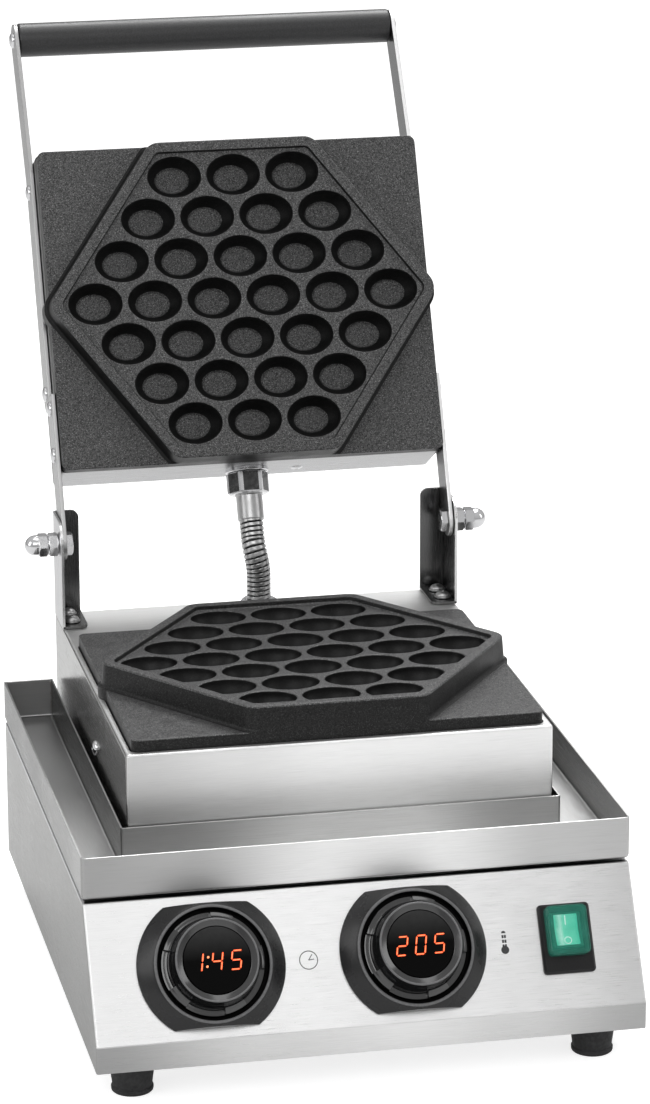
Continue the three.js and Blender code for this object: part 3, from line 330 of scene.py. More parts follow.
def bumped(tree, shader, value, depth, strength=1.0):
    """Raises the surface by a value, to a depth in millimetres, on top of an earlier bump."""
    bump = tree.nodes.new("ShaderNodeBump")
    bump.inputs["Distance"].default_value = depth * MM
    bump.inputs["Strength"].default_value = strength
    tree.links.new(value, bump.inputs["Height"])
    earlier = shader.inputs["Normal"].links
    if earlier:
        tree.links.new(earlier[0].from_socket, bump.inputs["Normal"])
    tree.links.new(bump.outputs["Normal"], shader.inputs["Normal"])


bright_steel, tree, shader = new_material("polished_steel", (0.7, 0.7, 0.71), 0.12, 1.0)
scratches = noise(tree, 260, 4, (5, 1, 1))
tree.links.new(graded(tree, scratches, 0.08, 0.16), shader.inputs["Roughness"])
worn = noise(tree, 90, 3)
tree.links.new(mixed(tree, worn, (0.62, 0.62, 0.63), (0.7, 0.7, 0.71)), shader.inputs["Base Color"])
bumped(tree, shader, scratches, 0.01)

conduit_radius = 7.5
conduit_groove = 1.0
conduit_pitch = 3.0
conduit_steps = 9
conduit_sides = 36
groove_half, groove_shade_half, groove_steepness = 0.17, 0.12, 1.6
strip_crown = 0.12
conduit_bend_steps = 200
conduit_foot = Vector((2.6, 92.186, 173.9))
conduit_bend_foot = Vector((2.6, 92.186, 188.3))
conduit_handles = (Vector((2.6, 92.186, 197.3)), Vector((0, 91.686, 203.3)))
conduit_bend_top = Vector((0, 96.886, 211.4))
conduit_top = Vector((0, 103.3, 225.0))


def conduit_line(count):
    """Evenly spaced points up the conduit: straight, a bend between two handles, straight."""
    bend = []
    for k in range(conduit_bend_steps + 1):
        t = k / conduit_bend_steps
        u = 1 - t
        bend.append(
            conduit_bend_foot * u**3
            + conduit_handles[0] * 3 * u * u * t
            + conduit_handles[1] * 3 * u * t * t
            + conduit_bend_top * t**3
        )
    route = [conduit_foot, *bend, conduit_top]
    run = [0.0]
    for first, second in zip(route, route[1:]):
        run.append(run[-1] + (second - first).length)
    spots = []
    here = 0
    for k in range(count):
        goal = run[-1] * k / (count - 1)
        while here < len(run) - 2 and run[here + 1] < goal:
            here += 1
        share = (goal - run[here]) / (run[here + 1] - run[here])
        spots.append(route[here].lerp(route[here + 1], share))
    return spots, run[-1]


conduit_length = conduit_line(2)[1]
conduit_rings = round(conduit_length / conduit_pitch * conduit_steps)
conduit_spots = conduit_line(conduit_rings + 1)[0]
hose = Skin()
rings = []
for k, centre in enumerate(conduit_spots):
    ahead = conduit_spots[min(k + 1, conduit_rings)] - conduit_spots[max(k - 1, 0)]
    ahead.normalize()
    flat = Vector((1, 0, 0)) - ahead * ahead.x
    flat.normalize()
    up = ahead.cross(flat)
    ring = []
    for j in range(conduit_sides):
        angle = 2 * math.pi * j / conduit_sides
        turn_share = (k / conduit_steps - j / conduit_sides) % 1
        off_groove = abs(turn_share - 0.5)
        dip = max(0.0, 1 - off_groove / groove_half)
        radius = conduit_radius - conduit_groove * min(1, dip * groove_steepness) - strip_crown * off_groove
        ring.append(centre + (flat * math.cos(angle) + up * math.sin(angle)) * radius)
    rings.append(ring)
hose.solid(rings)
# The faces down the middle of each groove take a near-black steel: painted shade in the groove.
for k in range(conduit_rings):
    for j in range(conduit_sides):
        turn_share = ((k + 0.5) / conduit_steps - (j + 0.5) / conduit_sides) % 1
        if abs(turn_share - 0.5) < groove_shade_half:
            hose.finishes[k * conduit_sides + j] = 1
groove_shade, tree, shader = new_material("groove_painted_shade", (0.05, 0.05, 0.05), 0.4, 1.0)
tree.links.new(mixed(tree, noise(tree, 900, 2), (0.03, 0.03, 0.03), (0.08, 0.08, 0.08)),
               shader.inputs["Base Color"])
hose_steel, tree, shader = new_material("hose_steel", (0.44, 0.44, 0.44), 0.34, 1.0)
strip_marks = noise(tree, 300, 2)
tree.links.new(mixed(tree, strip_marks, (0.38, 0.38, 0.38), (0.5, 0.5, 0.5)), shader.inputs["Base Color"])
tree.links.new(graded(tree, strip_marks, 0.3, 0.4), shader.inputs["Roughness"])
conduit = make(hose, "wire_conduit", [hose_steel, groove_shade], crisp=50)
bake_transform(conduit)
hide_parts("conduit")


# Body: shell, front panel, underside and feet.
# Folded brushed stainless sheet. The front panel is a pan of its own with rounded side folds,
# set against the shell, and the four rubber feet are screwed to the underside.
def banded(tree, value, stops, easing="LINEAR"):
    """Colours along a value. Each stop is a share and a colour, from share 0 to share 1."""
    band = tree.nodes.new("ShaderNodeValToRGB")
    band.color_ramp.interpolation = easing
    for share, tint in stops[1:-1]:
        stop = band.color_ramp.elements.new(share)
        stop.color = (*tint, 1)
    band.color_ramp.elements[0].color = (*stops[0][1], 1)
    band.color_ramp.elements[-1].color = (*stops[-1][1], 1)
    tree.links.new(value, band.inputs["Fac"])
    return band.outputs["Color"]


grain_length, patch_length = 55, 14


def brushed_steel(
    name, along, lean=0.0, colour=(0.6, 0.6, 0.605), smooth=0.24, rough=0.4, painted_sheen=(), across="X"
):
    """Stainless sheet, brushed along an axis of its own frame, which leans back from upright.

    painted_sheen gives places along the axis across, in millimetres, each with a grey that the colour is
    multiplied by there: a painted reflection, lighter and darker bands along the sheet."""
    steel, tree, shader = new_material(name, colour, rough, 1.0)
    turn = (math.radians(lean), 0, 0)
    lengths = [grain_length if axis == along else 1 for axis in "XYZ"]
    patches = [patch_length if axis == along else 1 for axis in "XYZ"]
    fine = noise(tree, 3300, 2, lengths, turn, 0.6)
    broad = noise(tree, 420, 2, patches, turn, 0.5)
    stains = noise(tree, 14, 3, (1, 1, 1), turn)
    dark = tuple(part * 0.88 for part in colour)
    pale = tuple(min(1, part * 1.08) for part in colour)
    streaked = mixed(tree, graded(tree, fine, 0, 1), dark, pale)
    washed = mixed(tree, graded(tree, broad, 0, 0.6), streaked, colour)
    # The colour is multiplied by greys that change along one axis: a painted reflection.
    if painted_sheen:
        first, last = painted_sheen[0][0], painted_sheen[-1][0]
        greys = [((place - first) / (last - first), (grey, grey, grey)) for place, grey in painted_sheen]
        place_share = graded(tree, axes_of(tree)[across], 0, 1, first * MM, last * MM)
        painted_reflection = banded(tree, place_share, greys, "EASE")
        tinted = tree.nodes.new("ShaderNodeMixRGB")
        tinted.blend_type = "MULTIPLY"
        tinted.inputs["Fac"].default_value = 1
        tree.links.new(washed, tinted.inputs["Color1"])
        tree.links.new(painted_reflection, tinted.inputs["Color2"])
        washed = tinted.outputs["Color"]
    tree.links.new(washed, shader.inputs["Base Color"])
    brushed, stained = graded(tree, fine, smooth, rough), graded(tree, stains, -0.02, 0.02)
    tree.links.new(worked_out(tree, "ADD", brushed, stained), shader.inputs["Roughness"])
    bumped(tree, shader, fine, 0.002, 0.5)
    return steel


def shift(x, y, z):
    """A place given in millimetres."""
    return Matrix.Translation((x * MM, y * MM, z * MM))


def inset(path, depth, closed=True):
    """A path moved to its left by a depth, its corners mitred."""
    moved = []
    count = len(path)
    for i, here in enumerate(path):
        last = path[i - 1] if closed or i > 0 else None
        after = path[(i + 1) % count] if closed or i < count - 1 else None
        sides = []
        for start, end in ((last, here), (here, after)):
            if start is not None and end is not None:
                step = Vector((end[0] - start[0], end[1] - start[1])).normalized()
                sides.append(Vector((-step.y, step.x)))
        if len(sides) == 1:
            push = sides[0]
        else:
            push = (sides[0] + sides[1]) / (1 + sides[0].dot(sides[1]))
        moved.append((here[0] + push.x * depth, here[1] + push.y * depth))
    return moved


def eased(corners, radii, closed=True, steps=6):
    """A path whose corners are rounded, each by its own radius or all by one."""
    path = []
    count = len(corners)
    if not isinstance(radii, (list, tuple)):
        radii = [radii] * count
    for i, (corner, radius) in enumerate(zip(corners, radii)):
        if radius <= 0 or (not closed and i in (0, count - 1)):
            path.append(tuple(corner))
            continue
        here = Vector(corner)
        back = (Vector(corners[i - 1]) - here).normalized()
        ahead = (Vector(corners[(i + 1) % count]) - here).normalized()
        half = back.angle(ahead) / 2
        centre = here + (back + ahead).normalized() * (radius / math.sin(half))
        spoke = here + back * (radius / math.tan(half)) - centre
        sweep = math.pi - 2 * half
        if back.x * ahead.y - back.y * ahead.x > 0:
            sweep = -sweep
        for k in range(steps + 1):
            angle = sweep * k / steps
            turned = (
                spoke.x * math.cos(angle) - spoke.y * math.sin(angle),
                spoke.x * math.sin(angle) + spoke.y * math.cos(angle),
            )
            path.append((centre.x + turned[0], centre.y + turned[1]))
    return path


def quarter(steps=4):
    """Sine and cosine pairs round a quarter turn."""
    return [
        (math.sin(math.pi / 2 * k / steps), math.cos(math.pi / 2 * k / steps))
        for k in range(steps + 1)
    ]


def sheeted(piece, thickness):
    """Gives a drawn surface the thickness of its sheet, to its inside."""
    wall = piece.modifiers.new("sheet", "SOLIDIFY")
    wall.thickness = thickness * MM
    wall.offset = -1
    piece.modifiers.move(1, 0)


def refinish(node, material):
    """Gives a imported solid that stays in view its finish."""
    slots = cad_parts[node].data.materials
    slots.clear()
    slots.append(material)


def weathered(tree, shader, grain, dark, pale, smooth, rough, gloss=None):
    """Colour from dark to pale over a grain, and roughness over the same grain or one of its own."""
    tree.links.new(mixed(tree, graded(tree, grain, 0, 1), dark, pale), shader.inputs["Base Color"])
    roughened = graded(tree, grain if gloss is None else gloss, smooth, rough)
    tree.links.new(roughened, shader.inputs["Roughness"])


half_body = 157.0
sheet = 1.2
fold_y, fold_z = drawn_fold_y, 30.7
panel_top_y, body_top = -211.614, 100.2
body_rear, body_bottom = 105.386, drawn_bottom
panel_lean = 30.5

# The sides are a darker copy of the top's steel: painted shade on the faces that look aside.
shell_sides_shaded_steel = brushed_steel("shell_sides_shaded_steel", "Y", colour=(0.29, 0.29, 0.285))
shell_top_steel = brushed_steel("shell_top_steel", "X")
# The panel and its upright strip are two copies of one steel, each with greys along X: painted reflection,
# brighter in the middle than at the ends.
panel_painted_sheen = [(-157, 0.72), (-100, 0.82), (-20, 0.95), (60, 0.95), (110, 0.9), (157, 0.74)]
panel_steel = brushed_steel("panel_steel", "X", 90 - panel_lean, (0.96, 0.96, 0.96), 0.26, 0.42, panel_painted_sheen)
strip_painted_sheen = [(-157, 0.37), (-60, 0.72), (20, 0.84), (80, 0.7), (157, 0.42)]
strip_steel = brushed_steel("strip_steel", "X", 0, (0.96, 0.96, 0.955), 0.26, 0.42, strip_painted_sheen)

# The shell is one sheet: its top and back run across, its sides are folded down from them.
shell_bend, shell_rear_fold = 1.8, 2.0
shell_front_gap = 1.6
top_front = panel_top_y + shell_front_gap
shell = Skin()
stations = [(-half_body + shell_bend * (1 - c), shell_bend * (1 - s)) for s, c in quarter()]
rings = []
for x, drop in [*stations, *[(-x, drop) for x, drop in reversed(stations)]]:
    run = eased(
        [(top_front, body_top), (body_rear, body_top), (body_rear, body_bottom)],
        shell_rear_fold,
        closed=False,
    )
    rings.append([(x, y, z) for y, z in inset(run, -drop, closed=False)])
made = shell.stack(rings, closed=False)
for ring, x in ((made[0], -half_body), (made[-1], half_body)):
    front = [
        (x, fold_y + shell_front_gap, body_bottom),
        (x, fold_y + shell_front_gap, fold_z - 0.4),
    ]
    front_ring = shell.ring(front)
    shell.fill([*front_ring, *ring], finish=1)
base_shell = make(shell, "folded_shell", [shell_top_steel, shell_sides_shaded_steel])
sheeted(base_shell, sheet)
fit(base_shell, "base", "body_steel", "base_shell")

# The panel is drawn from the side and runs across, its side folds rounded.
panel_bend = 1.15
panel_tuck = 4.0
panel_path = eased(
    [
        (panel_top_y + panel_tuck, body_top),
        (panel_top_y, body_top),
        (fold_y, fold_z),
        (fold_y, body_bottom + 0.2),
    ],
    [0, 1.6, 2.4, 0],
    closed=False,
)
panel_back = inset(panel_path, sheet, closed=False)[::-1]
rings = []
stations = [(half_body - panel_bend * (1 - s), panel_bend * (1 - c)) for s, c in quarter()]
for x, drop in [*[(-x, drop) for x, drop in reversed(stations)], *stations]:
    front = inset(panel_path, drop, closed=False)
    rings.append([(x, y, z) for y, z in [*front, *panel_back]])
panel = Skin()
panel.solid(rings)
front_panel = make(panel, "sloped_panel", [panel_steel, strip_steel], crisp=28)
lean_of_strip = 0.2
for polygon in front_panel.data.polygons:
    if polygon.normal.z < lean_of_strip:
        polygon.material_index = 1
fit(front_panel, "base", "body_steel", "front_panel")

refinish("bottom_plate", shell_top_steel)

rubber, tree, shader = new_material("foot_rubber", (0.018, 0.018, 0.019), 0.72)
dusty = noise(tree, 500, 4)
weathered(tree, shader, dusty, (0.012, 0.012, 0.013), (0.03, 0.03, 0.031), 0.6, 0.82, noise(tree, 60, 3))
bumped(tree, shader, dusty, 0.05, 0.5)

TURN_SIDES = 64


def turned(section, sides=TURN_SIDES):
    """A turned body: its section, as radius and height pairs from one end to the other, spun round Z."""
    skin = Skin()
    spin(skin, section, sides)
    return skin


def circle(radius, height, sides=TURN_SIDES):
    """Points round Z at a height."""
    angles = [2 * math.pi * j / sides for j in range(sides)]
    return [(radius * math.cos(angle), radius * math.sin(angle), height) for angle in angles]


def spin(skin, section, sides=TURN_SIDES, finish=0):
    """Adds a section spun round Z to a skin, its ends closed by a flat face or a tip."""
    rings = [circle(radius, height, sides) for radius, height in section if radius > 0]
    made = skin.stack(rings, finish=finish)
    for ring, (radius, height) in ((made[0], section[0]), (made[-1], section[-1])):
        if radius > 0:
            skin.fill(ring, finish=finish)
        else:
            skin.tip(ring, (0, 0, height), finish=finish)


foot_section = eased(
    [(4.5, 8), (4.5, 0), (11.9, 0), (12.0, 2.8), (11.2, 3.4), (12.6, 14), (14.4, 21.7), (4.5, 21.7)],
    [0, 0.6, 1.2, 0.4, 0.3, 8, 0.4, 0],
    closed=False,
    steps=3,
)
foot_sole = -7.0
foot_rows = (("front", -225.552), ("rear", 78.386))
foot_columns = (("left", -133.0), ("right", 133.0))
screw_section = [(0, 6.6), (1.2, 6.5), (1.4, 5.9), (3.4, 5.4), (3.9, 6.2), (3.9, 8.4), (0, 8.4)]
for row, y in foot_rows:
    for word, x in foot_columns:
        place = shift(x, y, foot_sole)
        sole = turned([(0, 8), *foot_section, (0, 21.7)])
        foot = make(sole, f"rubber_foot_{row}_{word}", rubber, place)
        fit(foot, "base", "foot_rubber", f"foot_{row}_{word}")
        screw = make(turned(screw_section, 24), f"foot_screw_{row}_{word}", bright_steel, place)
        fit(screw, "base", "bright_steel")


# Spill tray.
# A U-shaped gutter of folded stainless round the housing, its corners welded, on four pressed dimples.
# It slides out to the front.
tray_front, tray_rear = -211.614, 102.386
tray_half, tray_inner_half = 157.5, 126.9
notch_front = -167.614
tray_low, tray_high = 102.1, 127.0
tray_corner = 3.0
weld_corner = 0.6
tray_plan = eased(
    [
        (-tray_half, tray_front),
        (tray_half, tray_front),
        (tray_half, tray_rear),
        (tray_inner_half, tray_rear),
        (tray_inner_half, notch_front),
        (-tray_inner_half, notch_front),
        (-tray_inner_half, tray_rear),
        (-tray_half, tray_rear),
    ],
    [tray_corner, tray_corner, 0, 0, weld_corner, weld_corner, 0, 0],
)
# The tray's steel comes in three copies chosen by facing: the front and back brighter in the middle along X,
# the sides darker and the floors paler, both darkening towards the back. Painted light and shade.
tray_painted_sheen = [(-157, 0.42), (-100, 0.52), (-10, 0.95), (40, 0.95), (110, 0.6), (157, 0.54)]
tray_steel_across = brushed_steel("tray_steel_across", "X", 0, (0.96, 0.96, 0.955), 0.38, 0.52, tray_painted_sheen)
wall_painted_sheen = [(-215, 0.8), (-150, 0.62), (0, 0.36), (105, 0.3)]
floor_painted_sheen = [(-215, 0.8), (-120, 0.7), (-20, 0.45), (105, 0.2)]
tray_shaded_steel_along = brushed_steel("tray_shaded_steel_along", "Y", 0, (0.44, 0.44, 0.435), 0.24, 0.4, wall_painted_sheen, "Y")
tray_floor_steel = brushed_steel("tray_floor_steel", "Y", 0, (0.9, 0.9, 0.895), 0.34, 0.48, floor_painted_sheen, "Y")


def level(path, z):
    """A flat path at a height."""
    return [(x, y, z) for x, y in path]


def low_edge(path, radius, z, steps=4):
    """Rings up round the lower edge of a block."""
    return [level(inset(path, radius * (1 - s)), z + radius * (1 - c)) for s, c in quarter(steps)]


def high_edge(path, radius, z, steps=4):
    """Rings up round the upper edge of a block."""
    return [level(inset(path, radius * (1 - c)), z - radius * (1 - s)) for s, c in quarter(steps)]


def floor_bend(path, radius, z):
    """Rings down round a bend into a floor."""
    return [level(inset(path, radius * (1 - c)), z + radius * (1 - s)) for s, c in quarter()]


tray_bend, tray_lip, tray_inner_bend = 2.2, 0.35, 1.4
rings = low_edge(tray_plan, tray_bend, tray_low) + high_edge(tray_plan, tray_lip, tray_high, 2)
inner_plan = inset(tray_plan, sheet)
rings += low_edge(inner_plan, -tray_lip, tray_high, 2)
rings += floor_bend(inner_plan, tray_inner_bend, tray_low + sheet)
tray = Skin()
tray.solid(rings)
dimple_section = [(6, 0.9), (5.6, 0), (3.8, -1.3), (2, -1.6), (0, -1.6)]
dimple_columns, dimple_rows = (-142.5, 142.5), (-196.614, 87.386)
for x in dimple_columns:
    for y in dimple_rows:
        dimple = Skin()
        spin(dimple, dimple_section, 24)
        start = len(tray.points)
        tray.points.extend(point + Vector((x, y, tray_low)) for point in dimple.points)
        tray.faces.extend(tuple(i + start for i in face) for face in dimple.faces)
        tray.finishes.extend(dimple.finishes)
tray_steels = [tray_steel_across, tray_shaded_steel_along, tray_floor_steel]
spill_tray = make(tray, "spill_tray_sheet", tray_steels, crisp=28)
squarely = 0.7
smallest_floor = 9
# Side faces take the darker copy and large floors the floor copy: painted light and shade by facing.
for polygon in spill_tray.data.polygons:
    if abs(polygon.normal.x) > squarely:
        polygon.material_index = 1
    elif polygon.normal.z > squarely and polygon.area > smallest_floor * MM * MM:
        polygon.material_index = 2
fit(spill_tray, "spill_tray", "body_steel", "spill_tray")

weld_steel, tree, shader = new_material("weld_steel", (0.42, 0.41, 0.4), 0.42, 1.0)
heat = noise(tree, 350, 3)
weathered(tree, shader, heat, (0.3, 0.27, 0.24), (0.55, 0.55, 0.56), 0.3, 0.55)
bumped(tree, shader, noise(tree, 900, 2), 0.08)

weld_radius, weld_drop = 0.55, 1.5
weld_low, weld_high, weld_in = 104.6, 126.2, 0.2
drop_steps = 4


def weld_bead(name, x, y):
    """A row of overlapping weld drops up a corner of the tray."""
    start, end = Vector((x, y, weld_low)), Vector((x, y, weld_high))
    length = (end - start).length
    count = max(2, round(length / weld_drop))
    heading = (end - start).to_track_quat("Z", "Y").to_matrix().to_4x4()
    section = [(0, 0)]
    for k in range(count * drop_steps):
        wave = abs(math.sin(math.pi * k / drop_steps))
        section.append((weld_radius * (0.55 + 0.45 * wave), length * (k + 0.5) / (count * drop_steps)))
    section.append((0, length))
    bead = make(turned(section, 10), name, weld_steel, shift(*start) @ heading, crisp=60)
    fit(bead, "spill_tray", "body_steel")


both_sides = (("left", -1), ("right", 1))
weld_y = tray_rear - sheet - weld_in
for word, side in both_sides:
    weld_bead(f"tray_weld_{word}", side * (tray_inner_half + sheet + weld_in), weld_y)
    weld_bead(f"tray_outer_weld_{word}", side * (tray_half - sheet - weld_in), weld_y)


# Lower housing.
# A box of thicker stainless sheet that carries the lower plate. Its deck is pressed down round the
# plate into a ledge. A domed screw on each side holds the housing to its inner frame.
def rectangle(width, length, corner, x=0, y=0, steps=6):
    """A rounded rectangle round a centre, counterclockwise."""
    left, right, low, high = x - width / 2, x + width / 2, y - length / 2, y + length / 2
    return eased([(left, low), (right, low), (right, high), (left, high)], corner, steps=steps)


housing_half = 124.0
housing_front, housing_rear = -165.914, 105.386
housing_low, deck_height = 100.5, 169.0
housing_sheet = 1.6
plate_centre_y = -60.614
# The housing's steel comes in three copies chosen by facing: the front brighter in the middle along X, the
# sides much darker and the deck in its own grey. Painted light and shade.
housing_painted_sheen = [(-124, 0.68), (-60, 0.86), (0, 1.0), (124, 0.98)]
housing_steel = brushed_steel("housing_steel", "X", 0, (0.98, 0.98, 0.975), 0.32, 0.46, housing_painted_sheen)
deck_steel = brushed_steel("deck_steel", "X", colour=(0.71, 0.71, 0.705), smooth=0.42, rough=0.52)
housing_side_shaded_steel = brushed_steel("housing_side_shaded_steel", "Y", 0, (0.27, 0.27, 0.265), 0.16, 0.3)
housing_middle = (housing_front + housing_rear) / 2
housing_corner, deck_bend = 2.0, 1.7
housing_plan = rectangle(2 * housing_half, housing_rear - housing_front, housing_corner, 0, housing_middle)
housing = Skin()
outside = housing.stack([level(housing_plan, housing_low), *high_edge(housing_plan, deck_bend, deck_height)])
seat = rectangle(240.0, 200.6, 4.8, 0, plate_centre_y)
seat_lip, seat_foot, ledge_height, ledge_width = 0.9, 166.4, 165.5, 4.6
rings = low_edge(seat, -seat_lip, deck_height, 3)
rings += [level(seat, seat_foot), level(inset(seat, ledge_width), ledge_height)]
inside = housing.stack(rings)
housing.fill(outside[-1], [inside[0]])
lower_housing = make(housing, "plate_housing", [housing_steel, housing_side_shaded_steel, deck_steel], crisp=28)
for polygon in lower_housing.data.polygons:
    if abs(polygon.normal.x) > squarely:
        polygon.material_index = 1
    elif polygon.normal.z > 0.9:
        polygon.material_index = 2
sheeted(lower_housing, housing_sheet)
fit(lower_housing, "base", "body_steel", "lower_housing")


def outward(side, x, y, z):
    """Turns a piece that stands along Z to look out of the side given, -1 left or +1 right."""
    along_x = Matrix(((0, 0, 1, 0), (1, 0, 0, 0), (0, 1, 0, 0), (0, 0, 0, 1)))
    return shift(side * x, y, z) @ Matrix.Rotation(0 if side > 0 else math.pi, 4, "Z") @ along_x


def domed_screw(name, radius, height, place, body, slot_width=0.0):
    """A low domed head on a short shank. Where it is a screw, a round recess is sunk in its top by its
    section.
    """
    shank, steps = 2.0, 7
    head_edge = 0.25
    section = [(0, -shank), (radius * 0.5, -shank), (radius * 0.5, 0.0), (radius, 0.0), (radius, head_edge)]
    for k in range(1, steps):
        angle = math.pi / 2 * k / steps
        section.append((radius * math.cos(angle), head_edge + (height - head_edge) * math.sin(angle)))
    if slot_width:
        section += [(slot_width, height * 0.97), (slot_width * 0.8, height * 0.45), (0, height * 0.4)]
    else:
        section.append((0, height))
    head = make(turned(section, 32), name, bright_steel, place, crisp=40)
    fit(head, body, "bright_steel")
    return head


housing_screw_y, housing_screw_z = -54.6, 135.2
for word, side in both_sides:
    screw_place = outward(side, housing_half, housing_screw_y, housing_screw_z)
    domed_screw(f"housing_screw_{word}", 4.6, 2.4, screw_place, "base", 1.1)


# Baking plates and their heaters.
# Two identical aluminium castings in a black non-stick coat: a square flange, a hexagonal block
# with a raised rim, and thirty oval cups. A bent tube heater is clamped behind each.
def nonstick(name, dark, pale, fleck, gloss):
    """A speckled non-stick coat."""
    coat, tree, shader = new_material(name, dark, 0.5)
    grain = noise(tree, 950, 3, sharp=0.75)
    flecks = noise(tree, 1900, 1)
    ground = mixed(tree, graded(tree, grain, 0, 1, 0.36, 0.64), dark, pale)
    speckled = mixed(tree, graded(tree, flecks, 0, 0.7, 0.6, 0.72), ground, fleck)
    tree.links.new(speckled, shader.inputs["Base Color"])
    tree.links.new(graded(tree, noise(tree, 70, 3), 0.36, 0.5), shader.inputs["Roughness"])
    bumped(tree, shader, grain, 0.09, 0.8)
    shader.inputs["Specular IOR Level"].default_value = gloss
    return coat


coating = nonstick(
    "nonstick_coating", (0.008, 0.008, 0.0085), (0.098, 0.098, 0.098), (0.32, 0.32, 0.32), 0.34
)
# Two darker copies of the same coat: painted shade for the cup walls, the hexagon's walls and the flange's
# edge.
cup_shade_coating = nonstick("cup_shade_coating", (0.001, 0.001, 0.001), (0.004, 0.004, 0.004), (0.02, 0.02, 0.02), 0.22)
edge_shade_coating = nonstick("edge_shade_coating", (0.003, 0.003, 0.003), (0.02, 0.02, 0.02), (0.07, 0.07, 0.07), 0.22)

casting_half_width, casting_half_length, casting_corner = 119.7, 100.0, 4.5
flange_height = 10.0
rim_height = 24.8
cup_pitch, cup_row_pitch = 37.107, 25.8
cup_half_length, cup_half_width, cup_depth = 16.754, 12.848, 12.0
cup_rows = [3, 4, 5, 6, 5, 4, 3]
cup_sides = 48
cup_lip, cup_dip, cup_tip = 0.8, 0.25, 0.45
cup_waist, cup_bottom = 0.56, 0.5
cup_wall_steps = 8
recess_floor = rim_height - 2.9
# Bands of rings that take the darker coats: painted shade.
cup_shade_bands = [(i, 1) for i in range(2, 2 + cup_wall_steps)]
flange_shade_bands = [(i, 2) for i in range(4)]
block_shade_bands = [(i, 2) for i in (*range(7), *range(13, 17))]
hexagon_slant = math.atan2(cup_pitch / 2, cup_row_pitch)
hexagon_reach = 123.4 * math.cos(hexagon_slant)


def hexagon(grow, corner, z, limit=0.0):
    """The outline of the block, wider or narrower. A limit keeps it within the flange's front and back."""
    reach = hexagon_reach + grow
    high = casting_half_length + grow
    side_x = reach / math.cos(hexagon_slant)
    high_x = (reach - high * math.sin(hexagon_slant)) / math.cos(hexagon_slant)
    corners = [(-high_x, -high), (high_x, -high), (side_x, 0), (high_x, high), (-high_x, high), (-side_x, 0)]
    outline = eased(corners, corner)
    if limit:
        outline = [(x, max(-limit, min(limit, y))) for x, y in outline]
    return level(outline, z)


def oval(x, y, length, width, z):
    """The outline of a cup at a height."""
    return [
        (
            x + length * math.cos(2 * math.pi * j / cup_sides),
            y + width * math.sin(2 * math.pi * j / cup_sides),
            z,
        )
        for j in range(cup_sides)
    ]


def cup(plate, x, y):
    """Sinks one oval cup, from its rounded lip to its tip, and gives back its rim."""
    rings = []
    for s, c in quarter(3):
        spread = cup_lip * (1 - s)
        height = recess_floor - cup_lip * (1 - c)
        rings.append(oval(x, y, cup_half_length + spread, cup_half_width + spread, height))
    for step in range(1, cup_wall_steps + 1):
        down = step / cup_wall_steps
        share = cup_waist + (1 - cup_waist) * math.cos(down * math.pi / 2)
        height = recess_floor - (cup_lip + (cup_depth - cup_lip) * down)
        rings.append(oval(x, y, cup_half_length * share, cup_half_width * share, height))
    height = recess_floor - (cup_depth + cup_dip)
    rings.append(oval(x, y, cup_half_length * cup_bottom, cup_half_width * cup_bottom, height))
    made = plate.stack(rings, bands=cup_shade_bands)
    plate.tip(made[-1], (x, y, recess_floor - cup_depth - cup_tip))
    return made[0]


def baking_plate():
    """One casting, its cups up, the flange's underside at height 0."""
    plate = Skin()
    flange = rectangle(2 * casting_half_width, 2 * casting_half_length, casting_corner)
    spigot = rectangle(228.0, 188.6, casting_corner)
    plate.solid([level(spigot, -6), level(spigot, 0.3)])
    edge = 0.6
    rings = low_edge(flange, edge, 0, 3) + high_edge(flange, edge, flange_height, 3)
    made = plate.stack(rings, bands=flange_shade_bands)
    plate.fill(made[0])
    plate.fill(made[-1])
    skirt, rim_edge, recess_edge, recess_fillet, draft = 2.2, 1.0, 0.8, 1.1, 0.8
    rim_width = 7.5
    band_grow = recess_edge - rim_width
    front = casting_half_length + 0.04
    corner = 11
    rings = [hexagon(skirt, corner + skirt, z, front) for z in (0.05, flange_height - 0.05)]
    rings += [
        hexagon(skirt * (1 - s), corner + skirt * (1 - s), flange_height + skirt * (1 - c), front)
        for s, c in quarter()
    ]
    rings += [
        hexagon(-draft - rim_edge * (1 - c), corner - rim_edge * (1 - c), rim_height - rim_edge * (1 - s))
        for s, c in quarter()
    ]
    rings += [
        hexagon(band_grow - recess_edge * s, 5.8 - recess_edge * s, rim_height - recess_edge * (1 - c))
        for s, c in quarter(3)
    ]
    for s, c in quarter(3):
        pulled = recess_fillet * (1 - c)
        rings.append(hexagon(-rim_width - pulled, 5 - pulled, recess_floor + recess_fillet * (1 - s)))
    made = plate.stack(rings, bands=block_shade_bands)
    plate.fill(made[0])
    rims = []
    for row, count in enumerate(cup_rows):
        y = (row - (len(cup_rows) - 1) / 2) * cup_row_pitch
        for k in range(count):
            x = (k - (count - 1) / 2) * cup_pitch
            rims.append(cup(plate, x, y))
    plate.fill(made[-1], rims)
    return plate


lid_lean = 25.2
hinge_y, hinge_z = 82.386, 220.4
lid_frame = shift(0, hinge_y, hinge_z) @ Matrix.Rotation(math.radians(90 - lid_lean), 4, "X")
half_turn = Matrix.Rotation(math.pi, 4, "Z")
lid_centre, lid_rise = 143, 4.6
flange_low = 165.8
lower_place = shift(0, plate_centre_y, flange_low)
upper_place = lid_frame @ shift(0, lid_centre, lid_rise) @ half_turn
